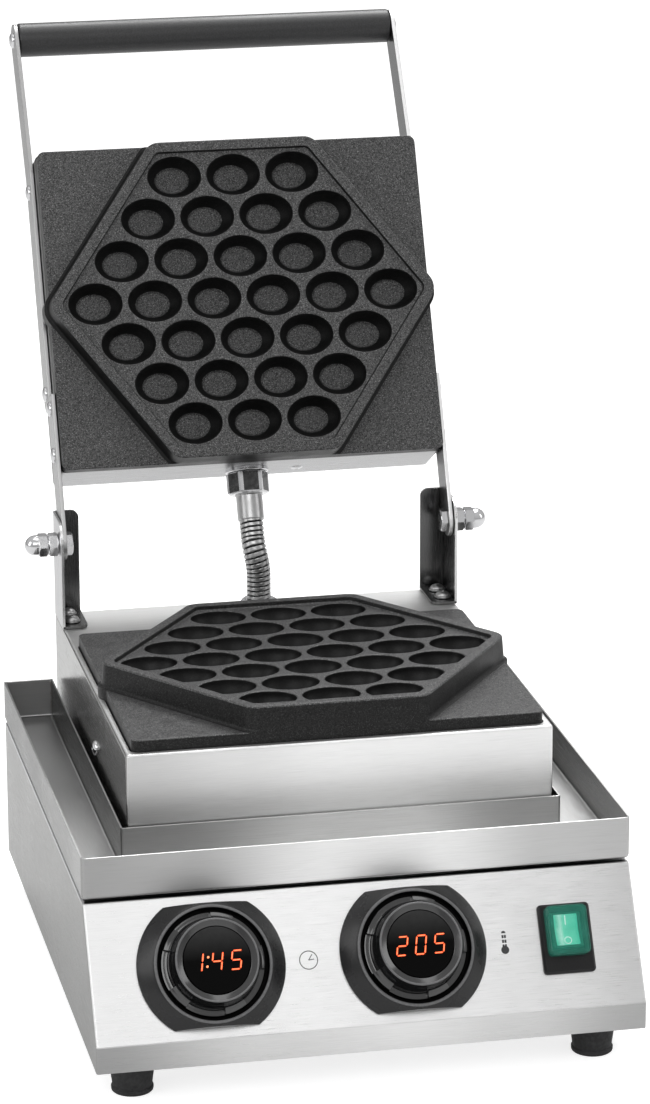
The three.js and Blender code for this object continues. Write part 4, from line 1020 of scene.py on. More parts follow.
# The upper plate takes the darkest copy on its walls and the lower plate a lighter one: painted shade.
lower_coats = [coating, cup_shade_coating, edge_shade_coating]
upper_coats = [coating, cup_shade_coating, cup_shade_coating]
lower_casting = make(baking_plate(), "lower_baking_plate", lower_coats, lower_place, crisp=38)
fit(lower_casting, "base", "coated_casting", "lower_plate")
upper_casting = make(baking_plate(), "upper_baking_plate", upper_coats, upper_place, crisp=38)
fit(upper_casting, "lid", "coated_casting", "upper_plate")

scaled_steel, tree, shader = new_material("heater_steel", (0.2, 0.18, 0.16), 0.5, 1.0)
scale_marks = noise(tree, 180, 4)
weathered(tree, shader, scale_marks, (0.13, 0.11, 0.1), (0.36, 0.34, 0.32), 0.6, 0.38)
bumped(tree, shader, noise(tree, 700, 2), 0.03)
for node in ("lower_heater", "upper_heater", "lower_clamp_plate", "upper_clamp_plate", "temperature_probe"):
    refinish(node, scaled_steel)


# Hinge brackets with their bolts, nuts and screws.
# Each bracket is bent from thick sheet: a side plate, a rear flange and a foot with two screws.
# A bolt runs out through arm and bracket, and is held by a nut and a domed cap nut.
# Four copies of one steel for the bracket, chosen by facing: the edges palest, the outside darker, the inside
# and foot darker still and the inner bend near black. Painted light and shade.
bracket_steel = brushed_steel("bracket_steel", "Z", 0, (0.8, 0.8, 0.8), 0.2, 0.34)
bracket_outer_shaded_steel = brushed_steel("bracket_outer_shaded_steel", "Z", 0, (0.5, 0.5, 0.505), 0.24, 0.38)
bend_shade_steel = brushed_steel("bend_shade_steel", "Z", 0, (0.05, 0.05, 0.05), 0.34, 0.46)
bracket_inner_shaded_steel = brushed_steel("bracket_inner_shaded_steel", "Z", 0, (0.15, 0.15, 0.15), 0.2, 0.3)
bracket_sheet = 1.6
bracket_out, bracket_tip = 124.4, 108.4
bracket_front, bracket_rear = 69.486, 104.786
bracket_low, bracket_high = 169.3, 235.4
bracket_corner, flange_corner, bracket_bend = 12.0, 5.0, 2.6
for word, side in both_sides:
    stations = [
        (bracket_out, bracket_front + bracket_corner * (1 - c), bracket_high - bracket_corner * (1 - s))
        for s, c in quarter(9)
    ]
    stations += [
        (bracket_out - bracket_bend * (1 - c), bracket_rear - bracket_bend * (1 - s), bracket_high)
        for s, c in quarter(6)
    ]
    stations += [
        (bracket_tip + flange_corner * (1 - c), bracket_rear, bracket_high - flange_corner * (1 - s))
        for s, c in reversed(quarter(7))
    ]
    outer = [(x, y) for x, y, z in stations]
    inner = inset(outer, bracket_sheet, closed=False)
    bracket = Skin()
    rings = []
    for (x, y, high), (inner_x, inner_y) in zip(stations, inner):
        rings.append([
            (side * x, y, bracket_low),
            (side * x, y, high),
            (side * inner_x, inner_y, high),
            (side * inner_x, inner_y, bracket_low),
        ])
    bracket.solid(rings)
    foot_corners = [
        (bracket_tip, bracket_front),
        (bracket_out - 0.4, bracket_front),
        (bracket_out - 0.4, bracket_rear - 0.4),
        (bracket_tip, bracket_rear - 0.4),
    ]
    foot_plan = [(side * x, y) for x, y in eased(foot_corners, [flange_corner, 0, 0, 0])]
    bracket.solid([level(foot_plan, bracket_low + 0.02), level(foot_plan, bracket_low + bracket_sheet)])
    steels = [bracket_steel, bracket_inner_shaded_steel, bend_shade_steel, bracket_outer_shaded_steel]
    bent = make(bracket, f"bent_bracket_{word}", steels, crisp=24, edge=0.3)
    # Each face takes its copy by facing and place: painted shade on the outside, inside, foot and bend.
    for polygon in bent.data.polygons:
        looks_out = polygon.normal.x * side + polygon.normal.y
        middle = (drawing.inverted() @ polygon.center) / MM
        if middle.z < bracket_low + bracket_sheet + 0.3:
            polygon.material_index = 1
        elif looks_out < -0.9 and middle.y > bracket_front + 2:
            in_bend = min(abs(polygon.normal.x), abs(polygon.normal.y)) > 0.05
            polygon.material_index = 2 if in_bend else 1
        elif looks_out > 0.9:
            polygon.material_index = 3
    fit(bent, "base", "body_steel", f"hinge_bracket_{word}")


def six_sided(radius, low, high, low_chamfer, high_chamfer, turn=0.0):
    """Rings of a hexagon bar whose corners are turned off at its ends."""
    sides = 48
    flat = radius * math.cos(math.pi / 6)
    levels = [(low + low_chamfer * k / 3, (3 - k) / 3) for k in range(4)]
    levels += [(high - high_chamfer * k / 3, (3 - k) / 3) for k in reversed(range(4))]
    rings = []
    for z, share in levels:
        limit = radius - (radius - flat * 0.97) * share
        ring = []
        for j in range(sides):
            angle = 2 * math.pi * j / sides
            reach = flat / math.cos((angle - turn) % (math.pi / 3) - math.pi / 6)
            reach = min(reach, limit) if share > 0 else reach
            ring.append((reach * math.cos(angle), reach * math.sin(angle), z))
        rings.append(ring)
    return rings


arm_in, arm_out = 120.0, 122.5
bolt_hexagon, nut_hexagon = 7.4, 7.5
cap_nut_out, cap_radius, cap_height = 131.1, 6.35, 14.0
bracket_screw_x, bracket_screw_z = 117.3, 170.9
bracket_screw_rows = (("front", 79.486), ("rear", 94.486))
for word, side in both_sides:
    bolt = Skin()
    bolt.solid(six_sided(bolt_hexagon, -4.2, -0.3, 0.8, 0.0))
    spin(bolt, [(0, -1), (4, -1), (4, 15.5), (0, 15.5)], 32)
    made = make(bolt, f"hex_bolt_{word}", bright_steel, outward(side, arm_in, hinge_y, hinge_z), crisp=26)
    fit(made, "base", "bright_steel", f"hinge_bolt_{word}")
    nut = Skin()
    nut.solid(six_sided(nut_hexagon, 0.3, 6.4, 0.9, 0.9))
    made = make(nut, f"hex_nut_{word}", bright_steel, outward(side, bracket_out, hinge_y, hinge_z), crisp=26)
    fit(made, "base", "bright_steel", f"hinge_nut_{word}")
    cap = Skin()
    cap.solid(six_sided(nut_hexagon, 0.0, 6.0, 0.8, 0.9))
    crown = [(0, 5.0), (cap_radius, 5.0), (cap_radius, 7.3)]
    crown += [(cap_radius * c, 7.3 + 6.7 * s) for s, c in quarter(9)[1:-1]]
    crown.append((0, cap_height))
    spin(cap, crown, 48)
    cap_place = outward(side, cap_nut_out, hinge_y, hinge_z)
    made = make(cap, f"domed_cap_nut_{word}", bright_steel, cap_place, crisp=26)
    fit(made, "base", "bright_steel", f"cap_nut_{word}")
    for row, y in bracket_screw_rows:
        screw = Skin()
        spin(screw, [(0, 0.3), (5.0, 0.3), (5.2, 0.5), (5.2, 1.1), (5.0, 1.3), (0, 1.3)], 40)
        head = [(0, -3), (2, -3), (2, 1.0), (4.3, 1.0), (4.4, 1.6)]
        head += [(4.4 * c, 1.6 + 2.4 * s) for s, c in quarter(6)[1:-1]]
        spin(screw, [*head, (1.1, 3.95), (0.9, 2.6), (0, 2.5)], 40)
        seat = shift(side * bracket_screw_x, y, bracket_screw_z)
        made = make(screw, f"foot_bolt_{word}_{row}", hose_steel, seat, crisp=40)
        fit(made, "base", "bright_steel", f"bracket_screw_{word}_{row}")


# Lid casing.
# A stainless box, open to the front, that holds the upper plate and covers its heater.
# One domed screw sits in its lower wall and one plate screw in each side.
# The sides take a near-black copy of the casing's steel: painted shade on the faces that look aside.
casing_steel = brushed_steel("casing_steel", "X", 90 - lid_lean, (0.42, 0.42, 0.425), 0.24, 0.38)
casing_side_shaded_steel = brushed_steel("casing_side_shaded_steel", "Y", 90 - lid_lean, (0.07, 0.07, 0.07), 0.24, 0.38)
casing_plan = rectangle(2 * casting_half_width, 2 * casting_half_length, 3.0, 0, lid_centre)
casing_front, casing_back, casing_bend = 4.3, -36.0, 2.2
rings = [level(casing_plan, casing_front), *floor_bend(casing_plan, casing_bend, casing_back)]
lower_wall_end, lower_wall_fall = 60, 2.2
casing = Skin()
made = casing.stack(rings)
casing.fill(made[-1])
for point in casing.points:
    if point.y < lower_wall_end:
        point.y -= lower_wall_fall * (casing_front - point.z) / (casing_front - casing_back)
lid_casing = make(casing, "lid_box", [casing_steel, casing_side_shaded_steel], lid_frame, crisp=28)
for polygon in lid_casing.data.polygons:
    if abs(polygon.normal.x) > squarely:
        polygon.material_index = 1
sheeted(lid_casing, sheet)
fit(lid_casing, "lid", "body_steel", "lid_casing")
lid_foot = lid_centre - casting_half_length
under_lid = lid_frame @ shift(32, lid_foot, -19) @ Matrix.Rotation(math.radians(90), 4, "X")
domed_screw("lid_lip_screw", 4.4, 2.4, under_lid, "lid", 1.1)
for word, side in both_sides:
    screw_place = lid_frame @ outward(side, casting_half_width, lid_centre, 0)
    screw = domed_screw(f"side_screw_{word}", 3.6, 2.2, screw_place, "lid", 0.9)
    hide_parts(f"plate_screw_{word}")


# Arms, rivets and handle.
# Flat stainless bars riveted to the casing: short hinge arms below, dog-leg handle arms above.
# The grip is a black round bar held by a domed screw at each end.
# Copies of one steel for the arms, chosen by facing: the inner faces darker, the edges dark on the left and
# pale on the right. Painted light and shade.
arm_steel = brushed_steel("arm_steel", "Y", 90 - lid_lean, (0.34, 0.34, 0.34), 0.24, 0.4)
arm_inner_shaded_steel = brushed_steel("arm_inner_shaded_steel", "Y", 90 - lid_lean, (0.13, 0.13, 0.13), 0.24, 0.4)
arm_edge_light_and_shade = {
    "left": brushed_steel("left_arm_edge_shaded_steel", "Y", 90 - lid_lean, (0.45, 0.45, 0.45), 0.3, 0.45),
    "right": brushed_steel("right_arm_edge_lit_steel", "Y", 90 - lid_lean, (0.9, 0.9, 0.9), 0.3, 0.45),
}
hinge_arm_corners = [(-10, -10), (79, -10), (92, -3.2), (92, 10), (-10, 10)]
handle_arm_corners = [(84, -24), (233.14, -24), (334.65, -41.56), (338.06, -21.85), (234.86, -4), (84, -4)]
arm_outlines = {
    "hinge_arm": eased(hinge_arm_corners, [9.99, 0.6, 0.6, 0.8, 9.99], steps=12),
    "handle_arm": eased(handle_arm_corners, [9.98, 0, 9.98, 9.98, 10, 9.98], steps=12),
}
rivet_places = {"hinge": [(55, 0), (84, 0)], "handle": [(96, -14), (224, -14)]}
grip_along, grip_out = 326.5, -30
bar_edge = 0.4
bar = arm_out - arm_in
across_x = Matrix(((0, 0, 1, 0), (1, 0, 0, 0), (0, 1, 0, 0), (0, 0, 0, 1)))
for word, side in both_sides:
    for kind, outline in arm_outlines.items():
        arm = Skin()
        arm.solid(low_edge(outline, bar_edge, 0, 3) + high_edge(outline, bar_edge, bar, 3))
        place = lid_frame @ shift(arm_in if side > 0 else -arm_out, 0, 0) @ across_x
        steels = [arm_steel, arm_edge_light_and_shade[word], arm_inner_shaded_steel]
        made = make(arm, f"flat_{kind}_{word}", steels, place, crisp=38)
        for polygon in made.data.polygons:
            outward_facing = polygon.normal.x * side
            polygon.material_index = 0 if outward_facing > 0.9 else 2 if outward_facing < -0.9 else 1
        fit(made, "lid", "body_steel", f"{kind}_{word}")
    for kind, places in rivet_places.items():
        for i, (along, out) in enumerate(places):
            place = lid_frame @ outward(side, arm_out, along, out)
            rivet = domed_screw(f"rivet_{kind}_{word}_{i + 1}", 4.75, 2.3, place, "lid")
            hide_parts(f"{kind}_rivet_{word}_{i + 1}")
    screw_place = lid_frame @ outward(side, arm_out, grip_along, grip_out)
    screw = domed_screw(f"grip_screw_{word}", 4.9, 2.5, screw_place, "lid", 1.2)
    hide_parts(f"handle_screw_{word}")

grip, tree, shader = new_material("grip_plastic", (0.022, 0.022, 0.023), 0.42)
moulding = noise(tree, 1100, 3, sharp=0.6)
handled_gloss = noise(tree, 40, 3, (6, 1, 1))
weathered(tree, shader, moulding, (0.012, 0.012, 0.0125), (0.03, 0.03, 0.031), 0.34, 0.46, handled_gloss)
bumped(tree, shader, moulding, 0.04, 0.6)
grip_half = 119.5
grip_radius, grip_edge = 10.6, 1.2
grip_section = [(0, -grip_half)]
grip_section += [
    (grip_radius - grip_edge * (1 - s), -grip_half + grip_edge * (1 - c)) for s, c in quarter()
]
grip_section += [
    (grip_radius - grip_edge * (1 - c), grip_half - grip_edge * (1 - s)) for s, c in quarter()
]
grip_section.append((0, grip_half))
grip_place = lid_frame @ shift(0, grip_along, grip_out) @ across_x
fit(make(turned(grip_section, 72), "round_grip", grip, grip_place), "lid", "grip", "handle")


# Glands of the conduit.
# Plated brass unions: below the lid a collar, a hexagon and a smooth ferrule, on the deck a low hexagon.
# A dark copy of the plating for the hexagon's flats: painted shade and dark reflection, the rounded edges
# left bright.
gland_flats_shade, tree, shader = new_material("gland_flats_shade", (0.06, 0.06, 0.06), 0.24, 1.0)
plating = noise(tree, 300, 3)
weathered(tree, shader, plating, (0.045, 0.045, 0.045), (0.09, 0.09, 0.09), 0.18, 0.3)
along_lid = Matrix(((0, 1, 0, 0), (0, 0, 1, 0), (1, 0, 0, 0), (0, 0, 0, 1)))
gland_place = lid_frame @ shift(0, lid_foot, -17) @ along_lid
union = Skin()
union.solid(six_sided(13.4, -17.0, -3.2, 1.2, 0.6, math.pi / 6))
neck_and_collar = [
    (0, 6.5), (9, 6.5), (9, -0.3), (12.9, -0.3), (13.4, -0.8), (13.4, -2.6), (12.9, -3.1), (0, -3.1),
]
spin(union, neck_and_collar, 64)
ferrule = [(0, -16.5), (8.6, -16.5), (8.6, -17.4), (8.25, -17.9), (8.25, -32.2), (8.0, -32.9), (7.5, -33.2)]
spin(union, [*ferrule, (7.0, -33.0), (0, -32.6)], 64, finish=2)
made = make(union, "lid_union", [bright_steel, gland_flats_shade, hose_steel], gland_place, crisp=26)
to_union = (drawing @ gland_place).inverted()
hexagon_corner, smallest_face = 12.8, 12
for polygon in made.data.polygons:
    centre = to_union @ polygon.center / MM
    on_hexagon = math.hypot(centre.x, centre.y) < hexagon_corner and -16 < centre.z < -4
    if on_hexagon and polygon.area > smallest_face * MM * MM:
        polygon.material_index = 1
fit(made, "lid", "bright_steel", "lid_gland")
deck_union = Skin()
deck_union.solid(six_sided(12, 0.3, 4.6, 0.2, 0.9))
spin(deck_union, [(0, -6.8), (9, -6.8), (9, 4.4), (8.4, 5.0), (0, 5.0)], 64)
deck_union_place = shift(conduit_foot.x, conduit_foot.y, deck_height)
made = make(deck_union, "deck_union", bright_steel, deck_union_place, crisp=26)
fit(made, "base", "bright_steel", "deck_gland")


# Control units.
# Two alike, one for the time and one for the temperature, pushed through the panel from the front: a
# moulded black bezel with two flats, a turning ring with five finger notches and a fixed display.
panel_place = shift(0, fold_y, fold_z) @ Matrix.Rotation(math.radians(90 - panel_lean), 4, "X")
control_plastic, tree, shader = new_material("control_plastic", (0.016, 0.016, 0.0165), 0.3)
moulded = noise(tree, 1800, 2, sharp=0.6)
moulded_gloss = noise(tree, 80, 3)
weathered(tree, shader, moulded, (0.011, 0.011, 0.0115), (0.02, 0.02, 0.0205), 0.22, 0.32, moulded_gloss)
shader.inputs["Specular IOR Level"].default_value = 0.34
bumped(tree, shader, moulded, 0.02, 0.5)

# Pale grey for the rims of the bezel and the knob: a painted highlight on the black plastic, a little uneven.
rim_highlight_plastic, tree, shader = new_material("rim_highlight_plastic", (0.13, 0.13, 0.133), 0.34)
rim_mottle = noise(tree, 900, 3)
weathered(tree, shader, rim_mottle, (0.11, 0.11, 0.113), (0.16, 0.16, 0.163), 0.28, 0.4)

ring_plastic, tree, shader = new_material("ring_plastic", (0.008, 0.008, 0.0085), 0.18)
handled = noise(tree, 1500, 2)
thumbed_gloss = noise(tree, 120, 3)
weathered(tree, shader, handled, (0.006, 0.006, 0.0065), (0.011, 0.011, 0.0115), 0.11, 0.17, thumbed_gloss)
shader.inputs["Specular IOR Level"].default_value = 1.0

# Near-black plastic for the gap between bezel and knob: painted shade between the parts.
gap_shade_plastic, tree, shader = new_material("gap_shade_plastic", (0.002, 0.002, 0.002), 0.7)
gap_mottle = noise(tree, 700, 2)
tree.links.new(mixed(tree, gap_mottle, (0.001, 0.001, 0.001), (0.004, 0.004, 0.004)),
               shader.inputs["Base Color"])
tree.links.new(graded(tree, gap_mottle, 0.6, 0.8), shader.inputs["Roughness"])
shader.inputs["Specular IOR Level"].default_value = 0.1

control_up = 40.5
display_glass, tree, shader = new_material("display_glass", (0.004, 0.004, 0.004), 0.08)
# The window's colour is paler towards its top: a painted reflection.
glare_height = 16.5
display_middle = (drawing @ panel_place @ Vector((0, control_up * MM, 23.3 * MM))).z
painted_glare = graded(tree, axes_of(tree)["Z"], 0, 1, display_middle, display_middle + glare_height * MM)
grain = graded(tree, noise(tree, 300, 2), 0.85, 1.0)
glare_depth = worked_out(tree, "MULTIPLY", painted_glare, grain)
tree.links.new(mixed(tree, glare_depth, (0.003, 0.003, 0.003), (0.045, 0.045, 0.045)),
               shader.inputs["Base Color"])
tree.links.new(graded(tree, noise(tree, 500, 2), 0.06, 0.12), shader.inputs["Roughness"])
shader.inputs["Specular IOR Level"].default_value = 0.04


def glowing(name, deep, light, strength):
    """A lit plastic or lamp colour, a little uneven."""
    lit, tree, shader = new_material(name, deep, 0.4)
    cloud = noise(tree, 900, 2)
    uneven = mixed(tree, graded(tree, cloud, 0, 1), deep, light)
    tree.links.new(uneven, shader.inputs["Base Color"])
    tree.links.new(uneven, shader.inputs["Emission Color"])
    shader.inputs["Emission Strength"].default_value = strength
    return lit


digit_glow = glowing("digit_glow", (0.9, 0.085, 0.018), (0.95, 0.12, 0.03), 0.9)
digit_core = glowing("digit_core", (1.0, 0.24, 0.09), (1.0, 0.32, 0.14), 1.0)


def hoop(skin, section, sides=TURN_SIDES, finish=0):
    """A turned ring: its closed section spun round Z."""
    rings = [circle(radius, height, sides) for radius, height in [*section, section[0]]]
    skin.stack(rings, finish=finish)


def flattened(piece, place, half):
    """Cuts two opposite sides off a piece, square to its face, and closes the cuts."""
    place = drawing @ place
    work = bmesh.new()
    work.from_mesh(piece.data)
    for side in (-1, 1):
        spot = place @ Vector((0, side * half * MM, 0))
        facing = place.to_3x3() @ Vector((0, side, 0))
        everything = [*work.verts, *work.edges, *work.faces]
        cut = bmesh.ops.bisect_plane(work, geom=everything, plane_co=spot, plane_no=facing, clear_outer=True)
        rim = [part for part in cut["geom_cut"] if isinstance(part, bmesh.types.BMEdge)]
        bmesh.ops.edgeloop_fill(work, edges=rim)
    bmesh.ops.recalc_face_normals(work, faces=work.faces)
    work.to_mesh(piece.data)
    work.free()
    piece.data.set_sharp_from_angle(angle=math.radians(26))


bezel_section = [
    (0, 0.3), (41.7, 0.3), (42.0, 0.6), (42.0, 1.4), (41.5, 2.1), (38.8, 4.7), (36.6, 6.7), (35.0, 8.1),
    (33.9, 9.0), (33.0, 9.5), (33.0, 3.2), (0, 3.2),
]
bezel_rim = [
    (31.4, 3.0), (33.3, 3.0), (33.3, 9.3), (33.1, 9.8), (32.7, 10.0), (32.0, 10.0), (31.6, 9.8), (31.4, 9.3),
]
ring_land = [
    (19.2, 3.6), (29.1, 3.6), (29.1, 7.0), (29.1, 7.5), (29.1, 9.3), (28.8, 10.2), (28.1, 10.8), (27.3, 11.2),
    (26.4, 11.8), (25.7, 12.7), (25.2, 13.7), (24.8, 14.9), (24.5, 16.3), (24.3, 17.8), (24.0, 19.8),
    (23.7, 22.0), (23.5, 23.6), (23.35, 24.0), (23.05, 24.3), (22.8, 24.25), (22.4, 24.0), (19.6, 22.9),
    (19.2, 22.5),
]
ring_notch = [
    (19.2, 3.6), (29.1, 3.6), (29.1, 6.9), (28.9, 7.4), (28.4, 7.5), (27.6, 7.5), (26.6, 7.5), (26.0, 7.6),
    (25.7, 8.0), (25.6, 12.6), *ring_land[10:],
]
# Faces of the knob's section: a painted highlight on the rim, painted shade in the gap.
rim_faces, gap_faces = (16, 17, 18, 19), (1, 2)
gap_radius = 31.55
notch_start, notch_reach, notch_count = 16, 46, 5
notch_edge, notch_steps, land_steps = 0.6, 14, 8
bezel_flat = 34.6
display_top = 22.85
display_section = [(0, 3.6), (18.8, 3.6), (18.8, 22.4), (18.7, 22.7), (18.4, display_top), (0, display_top)]
segment_lines = {
    "a": ((-1, 1), (1, 1)), "b": ((1, 1), (1, 0)), "c": ((1, 0), (1, -1)), "d": ((-1, -1), (1, -1)),
    "e": ((-1, -1), (-1, 0)), "f": ((-1, 0), (-1, 1)), "g": ((-1, 0), (1, 0)),
}
lit_segments = {"0": "abcdef", "1": "bc", "2": "abged", "4": "fgbc", "5": "afgcd"}
digit_half_width, digit_half_height, digit_drop = 2.7, 5.15, -0.6
digit_slant = math.tan(math.radians(10.5))


def leaned(path, x, z):
    """A flat path of a digit, leaned to the right and moved along the display."""
    return [(x + across + up * digit_slant, up + digit_drop, z) for across, up in path]


def lit_digit(skin, digit, x):
    """The lit bars of one digit, each a pointed bar with a paler core."""
    for name in lit_segments[digit]:
        ends = [Vector((a * digit_half_width, b * digit_half_height)) for a, b in segment_lines[name]]
        along = (ends[1] - ends[0]).normalized()
        aside = Vector((-along.y, along.x))
        for half, pull, top, finish in ((0.44, 0.24, 0.1, 0), (0.14, 0.8, 0.16, 1)):
            first, last = ends[0] + along * pull, ends[1] - along * pull
            bar = [first, first + (along - aside) * half, last - (along + aside) * half, last]
            bar += [last - (along - aside) * half, first + (along + aside) * half]
            skin.solid([leaned(bar, x, 0), leaned(bar, x, top)], finish=finish)


readings = {
    "timer": [("1", -11.0), ("4", 0.0), ("5", 10.8)],
    "temperature": [("2", -10.6), ("0", 0.0), ("5", 10.6)],
}
colon_across, colon_rise, colon_radius = -5.3, 2.6, 0.68
for unit, across in (("timer", -88.705), ("temperature", 26.313)):
    control_place = panel_place @ shift(across, control_up, 0)
    body = Skin()
    spin(body, bezel_section, 128)
    spin(body, [(0, -30), (23.6, -30), (24, -29.6), (24, 0.4), (0, 0.4)])
    hoop(body, bezel_rim, 128, finish=1)
    plastics = [control_plastic, rim_highlight_plastic, gap_shade_plastic]
    bezel = make(body, f"{unit}_bezel_plate", plastics, control_place, crisp=26, edge=0.35)
    flattened(bezel, control_place, bezel_flat)
    to_bezel = (drawing @ control_place).inverted()
    # Faces of the bezel within the gap take the near-black plastic: painted shade.
    for polygon in bezel.data.polygons:
        centre = to_bezel @ polygon.center / MM
        if math.hypot(centre.x, centre.y) < gap_radius and centre.z > 0:
            polygon.material_index = 2
    fit(bezel, "base", "black_plastic", f"{unit}_bezel")

    stations = []
    notch, land = notch_reach - 2 * notch_edge, 360 / notch_count - notch_reach
    for k in range(notch_count):
        start = notch_start + 360 / notch_count * k
        for first, reach, steps, profile in (
            (start + notch_edge, notch, notch_steps, ring_notch),
            (start + notch_reach, land, land_steps, ring_land),
        ):
            stations += [(first + reach * j / steps, profile) for j in range(steps + 1)]
    thumb = Skin()
    made = []
    for degrees, profile in stations:
        angle = math.radians(degrees)
        made.append(thumb.ring([(r * math.cos(angle), r * math.sin(angle), z) for r, z in profile]))
    for first, second in zip(made, [*made[1:], made[0]]):
        thumb.bridge(first, second)
        for i in rim_faces:
            thumb.finishes[i - len(ring_land)] = 1
        for i in gap_faces:
            thumb.finishes[i - len(ring_land)] = 2
    plastics = [ring_plastic, rim_highlight_plastic, gap_shade_plastic]
    knob = make(thumb, f"{unit}_thumb_ring", plastics, control_place, crisp=30)
    fit(knob, f"{unit}_knob", "black_plastic", f"{unit}_knob")

    glass = make(turned(display_section, 96), f"{unit}_window", display_glass, control_place, crisp=26)
    fit(glass, "base", "display_window", f"{unit}_display")
    readout = Skin()
    for digit, x in readings[unit]:
        lit_digit(readout, digit, x)
    if unit == "timer":
        for up in (-colon_rise, colon_rise):
            turns = [math.pi * j / 6 for j in range(12)]
            dot = [(colon_radius * math.cos(turn), up + colon_radius * math.sin(turn)) for turn in turns]
            readout.solid([leaned(dot, colon_across, 0), leaned(dot, colon_across, 0.1)], finish=1)
    readout_place = control_place @ shift(0, 0, display_top + 0.01)
    digits = make(readout, f"{unit}_digits", [digit_glow, digit_core], readout_place)
    fit(digits, "base", "display_window")


# Power switch.
# A moulded black frame snapped into the panel, a lit teal rocker on its pin, and over it a clear
# teal splash cover of soft plastic.
switch_across, switch_up, window_rise = 114.798, 39.8, 4.0
frame_plastic, tree, shader = new_material("frame_plastic", (0.005, 0.005, 0.0055), 0.34)
shader.inputs["Specular IOR Level"].default_value = 0.3
frame_grain = noise(tree, 1400, 2)
weathered(tree, shader, frame_grain, (0.004, 0.004, 0.0045), (0.008, 0.008, 0.0085), 0.3, 0.42)
bumped(tree, shader, frame_grain, 0.02, 0.5)
switch_place = panel_place @ shift(switch_across, switch_up, 0)
switch_frame = Skin()
outline = rectangle(30.3, 39.7, 2.4)
window = rectangle(18.8, 21.3, 1.0, 0, window_rise)
levels = [(0, 0.3), (0, 1.4), (0.15, 1.8), (0.5, 2.1), (1.2, 2.85), (1.4, 2.97)]
outside = switch_frame.stack([level(inset(outline, depth), z) for depth, z in levels])
window_levels = [(-0.3, 2.97), (0, 2.7), (0, -5.8)]
inside = switch_frame.stack([level(inset(window, depth), z) for depth, z in window_levels])
switch_frame.fill(outside[-1], [inside[0]])
switch_frame.fill(outside[0])
switch_frame.fill(inside[-1])
switch_frame.solid([level(rectangle(25.9, 35.3, 1.0), z) for z in (-26, -5.9)])
frame_piece = make(switch_frame, "switch_housing", frame_plastic, switch_place, crisp=26)
fit(frame_piece, "base", "black_plastic", "switch_frame")

rocker_plastic = glowing("rocker_plastic", (0.005, 0.11, 0.07), (0.008, 0.16, 0.1), 0.2)
rocker_light, tree, shader = new_material("rocker_light", (0.03, 0.5, 0.33), 0.3)
# The rocker's glow is lit from within. The pale streak near its left is a painted highlight.
lamp_left, lamp_right = switch_across - 7.0, switch_across + 7.0
lamp_and_highlight_tints = [
    (0, (0.08, 0.6, 0.4)),
    (0.26, (0.62, 0.95, 0.84)),
    (0.38, (0.22, 0.78, 0.58)),
    (0.8, (0.16, 0.7, 0.5)),
    (1, (0.06, 0.56, 0.38)),
]
across_rocker = graded(tree, axes_of(tree)["X"], 0, 1, lamp_left * MM, lamp_right * MM)
cloudy_light = graded(tree, noise(tree, 130, 2), 0, 0.5, 0.42, 0.66)
gleam = mixed(tree, cloudy_light, banded(tree, across_rocker, lamp_and_highlight_tints), (0.05, 0.55, 0.36))
tree.links.new(gleam, shader.inputs["Base Color"])
tree.links.new(gleam, shader.inputs["Emission Color"])
shader.inputs["Emission Strength"].default_value = 0.95
mark_white = glowing("mark_white", (0.85, 1.0, 0.95), (0.95, 1.0, 0.98), 1.1)
rocker_half_width, rocker_half_length, rocker_valley, rocker_end = 8.6, 9.9, 3.55, 5.15
rocker_slope = (rocker_end - rocker_valley) / rocker_half_length
rocker_tilt = Matrix.Rotation(math.radians(-5), 4, "X")
rocker_place = panel_place @ shift(switch_across, switch_up + window_rise, 0) @ rocker_tilt
rocker = Skin()
side_view = [
    (-rocker_half_length, 0.2), (0, -3.4), (rocker_half_length, 0.2), (rocker_half_length, rocker_end),
    (0, rocker_valley), (-rocker_half_length, rocker_end),
]
rocker.solid([[(x, y, z) for y, z in side_view] for x in (-rocker_half_width, rocker_half_width)])


def rocker_face(path, proud):
    """A flat path laid on the rocker's face, proud of it."""
    return [(x, y, rocker_valley + abs(y) * rocker_slope + proud) for x, y in path]


mark_proud = 0.16
for side in (-1, 1):
    lit_half = rectangle(13.6, 8.9, 0.5, 0, side * 4.42, steps=2)
    rocker.solid([rocker_face(lit_half, -0.1), rocker_face(lit_half, 0.08)], finish=1)
bar_mark = rectangle(0.6, 5.2, 0.1, -0.2, 5.6, steps=1)
rocker.solid([rocker_face(bar_mark, 0.0), rocker_face(bar_mark, mark_proud)], finish=2)
ring_mark_up = -6.1
within, around = (
    [(r * math.cos(math.pi * j / 16), ring_mark_up + r * math.sin(math.pi * j / 16)) for j in range(32)]
    for r in (1.75, 2.2)
)
ring_faces = [rocker_face(within, 0.0), rocker_face(within, mark_proud)]
ring_faces += [rocker_face(around, mark_proud), rocker_face(around, 0.0)]
rocker.stack([*ring_faces, ring_faces[0]], finish=2)
rocker_piece = make(rocker, "lit_rocker", [rocker_plastic, rocker_light, mark_white], rocker_place, edge=0.2)
fit(rocker_piece, "switch_rocker", "green_plastic", "switch_rocker")

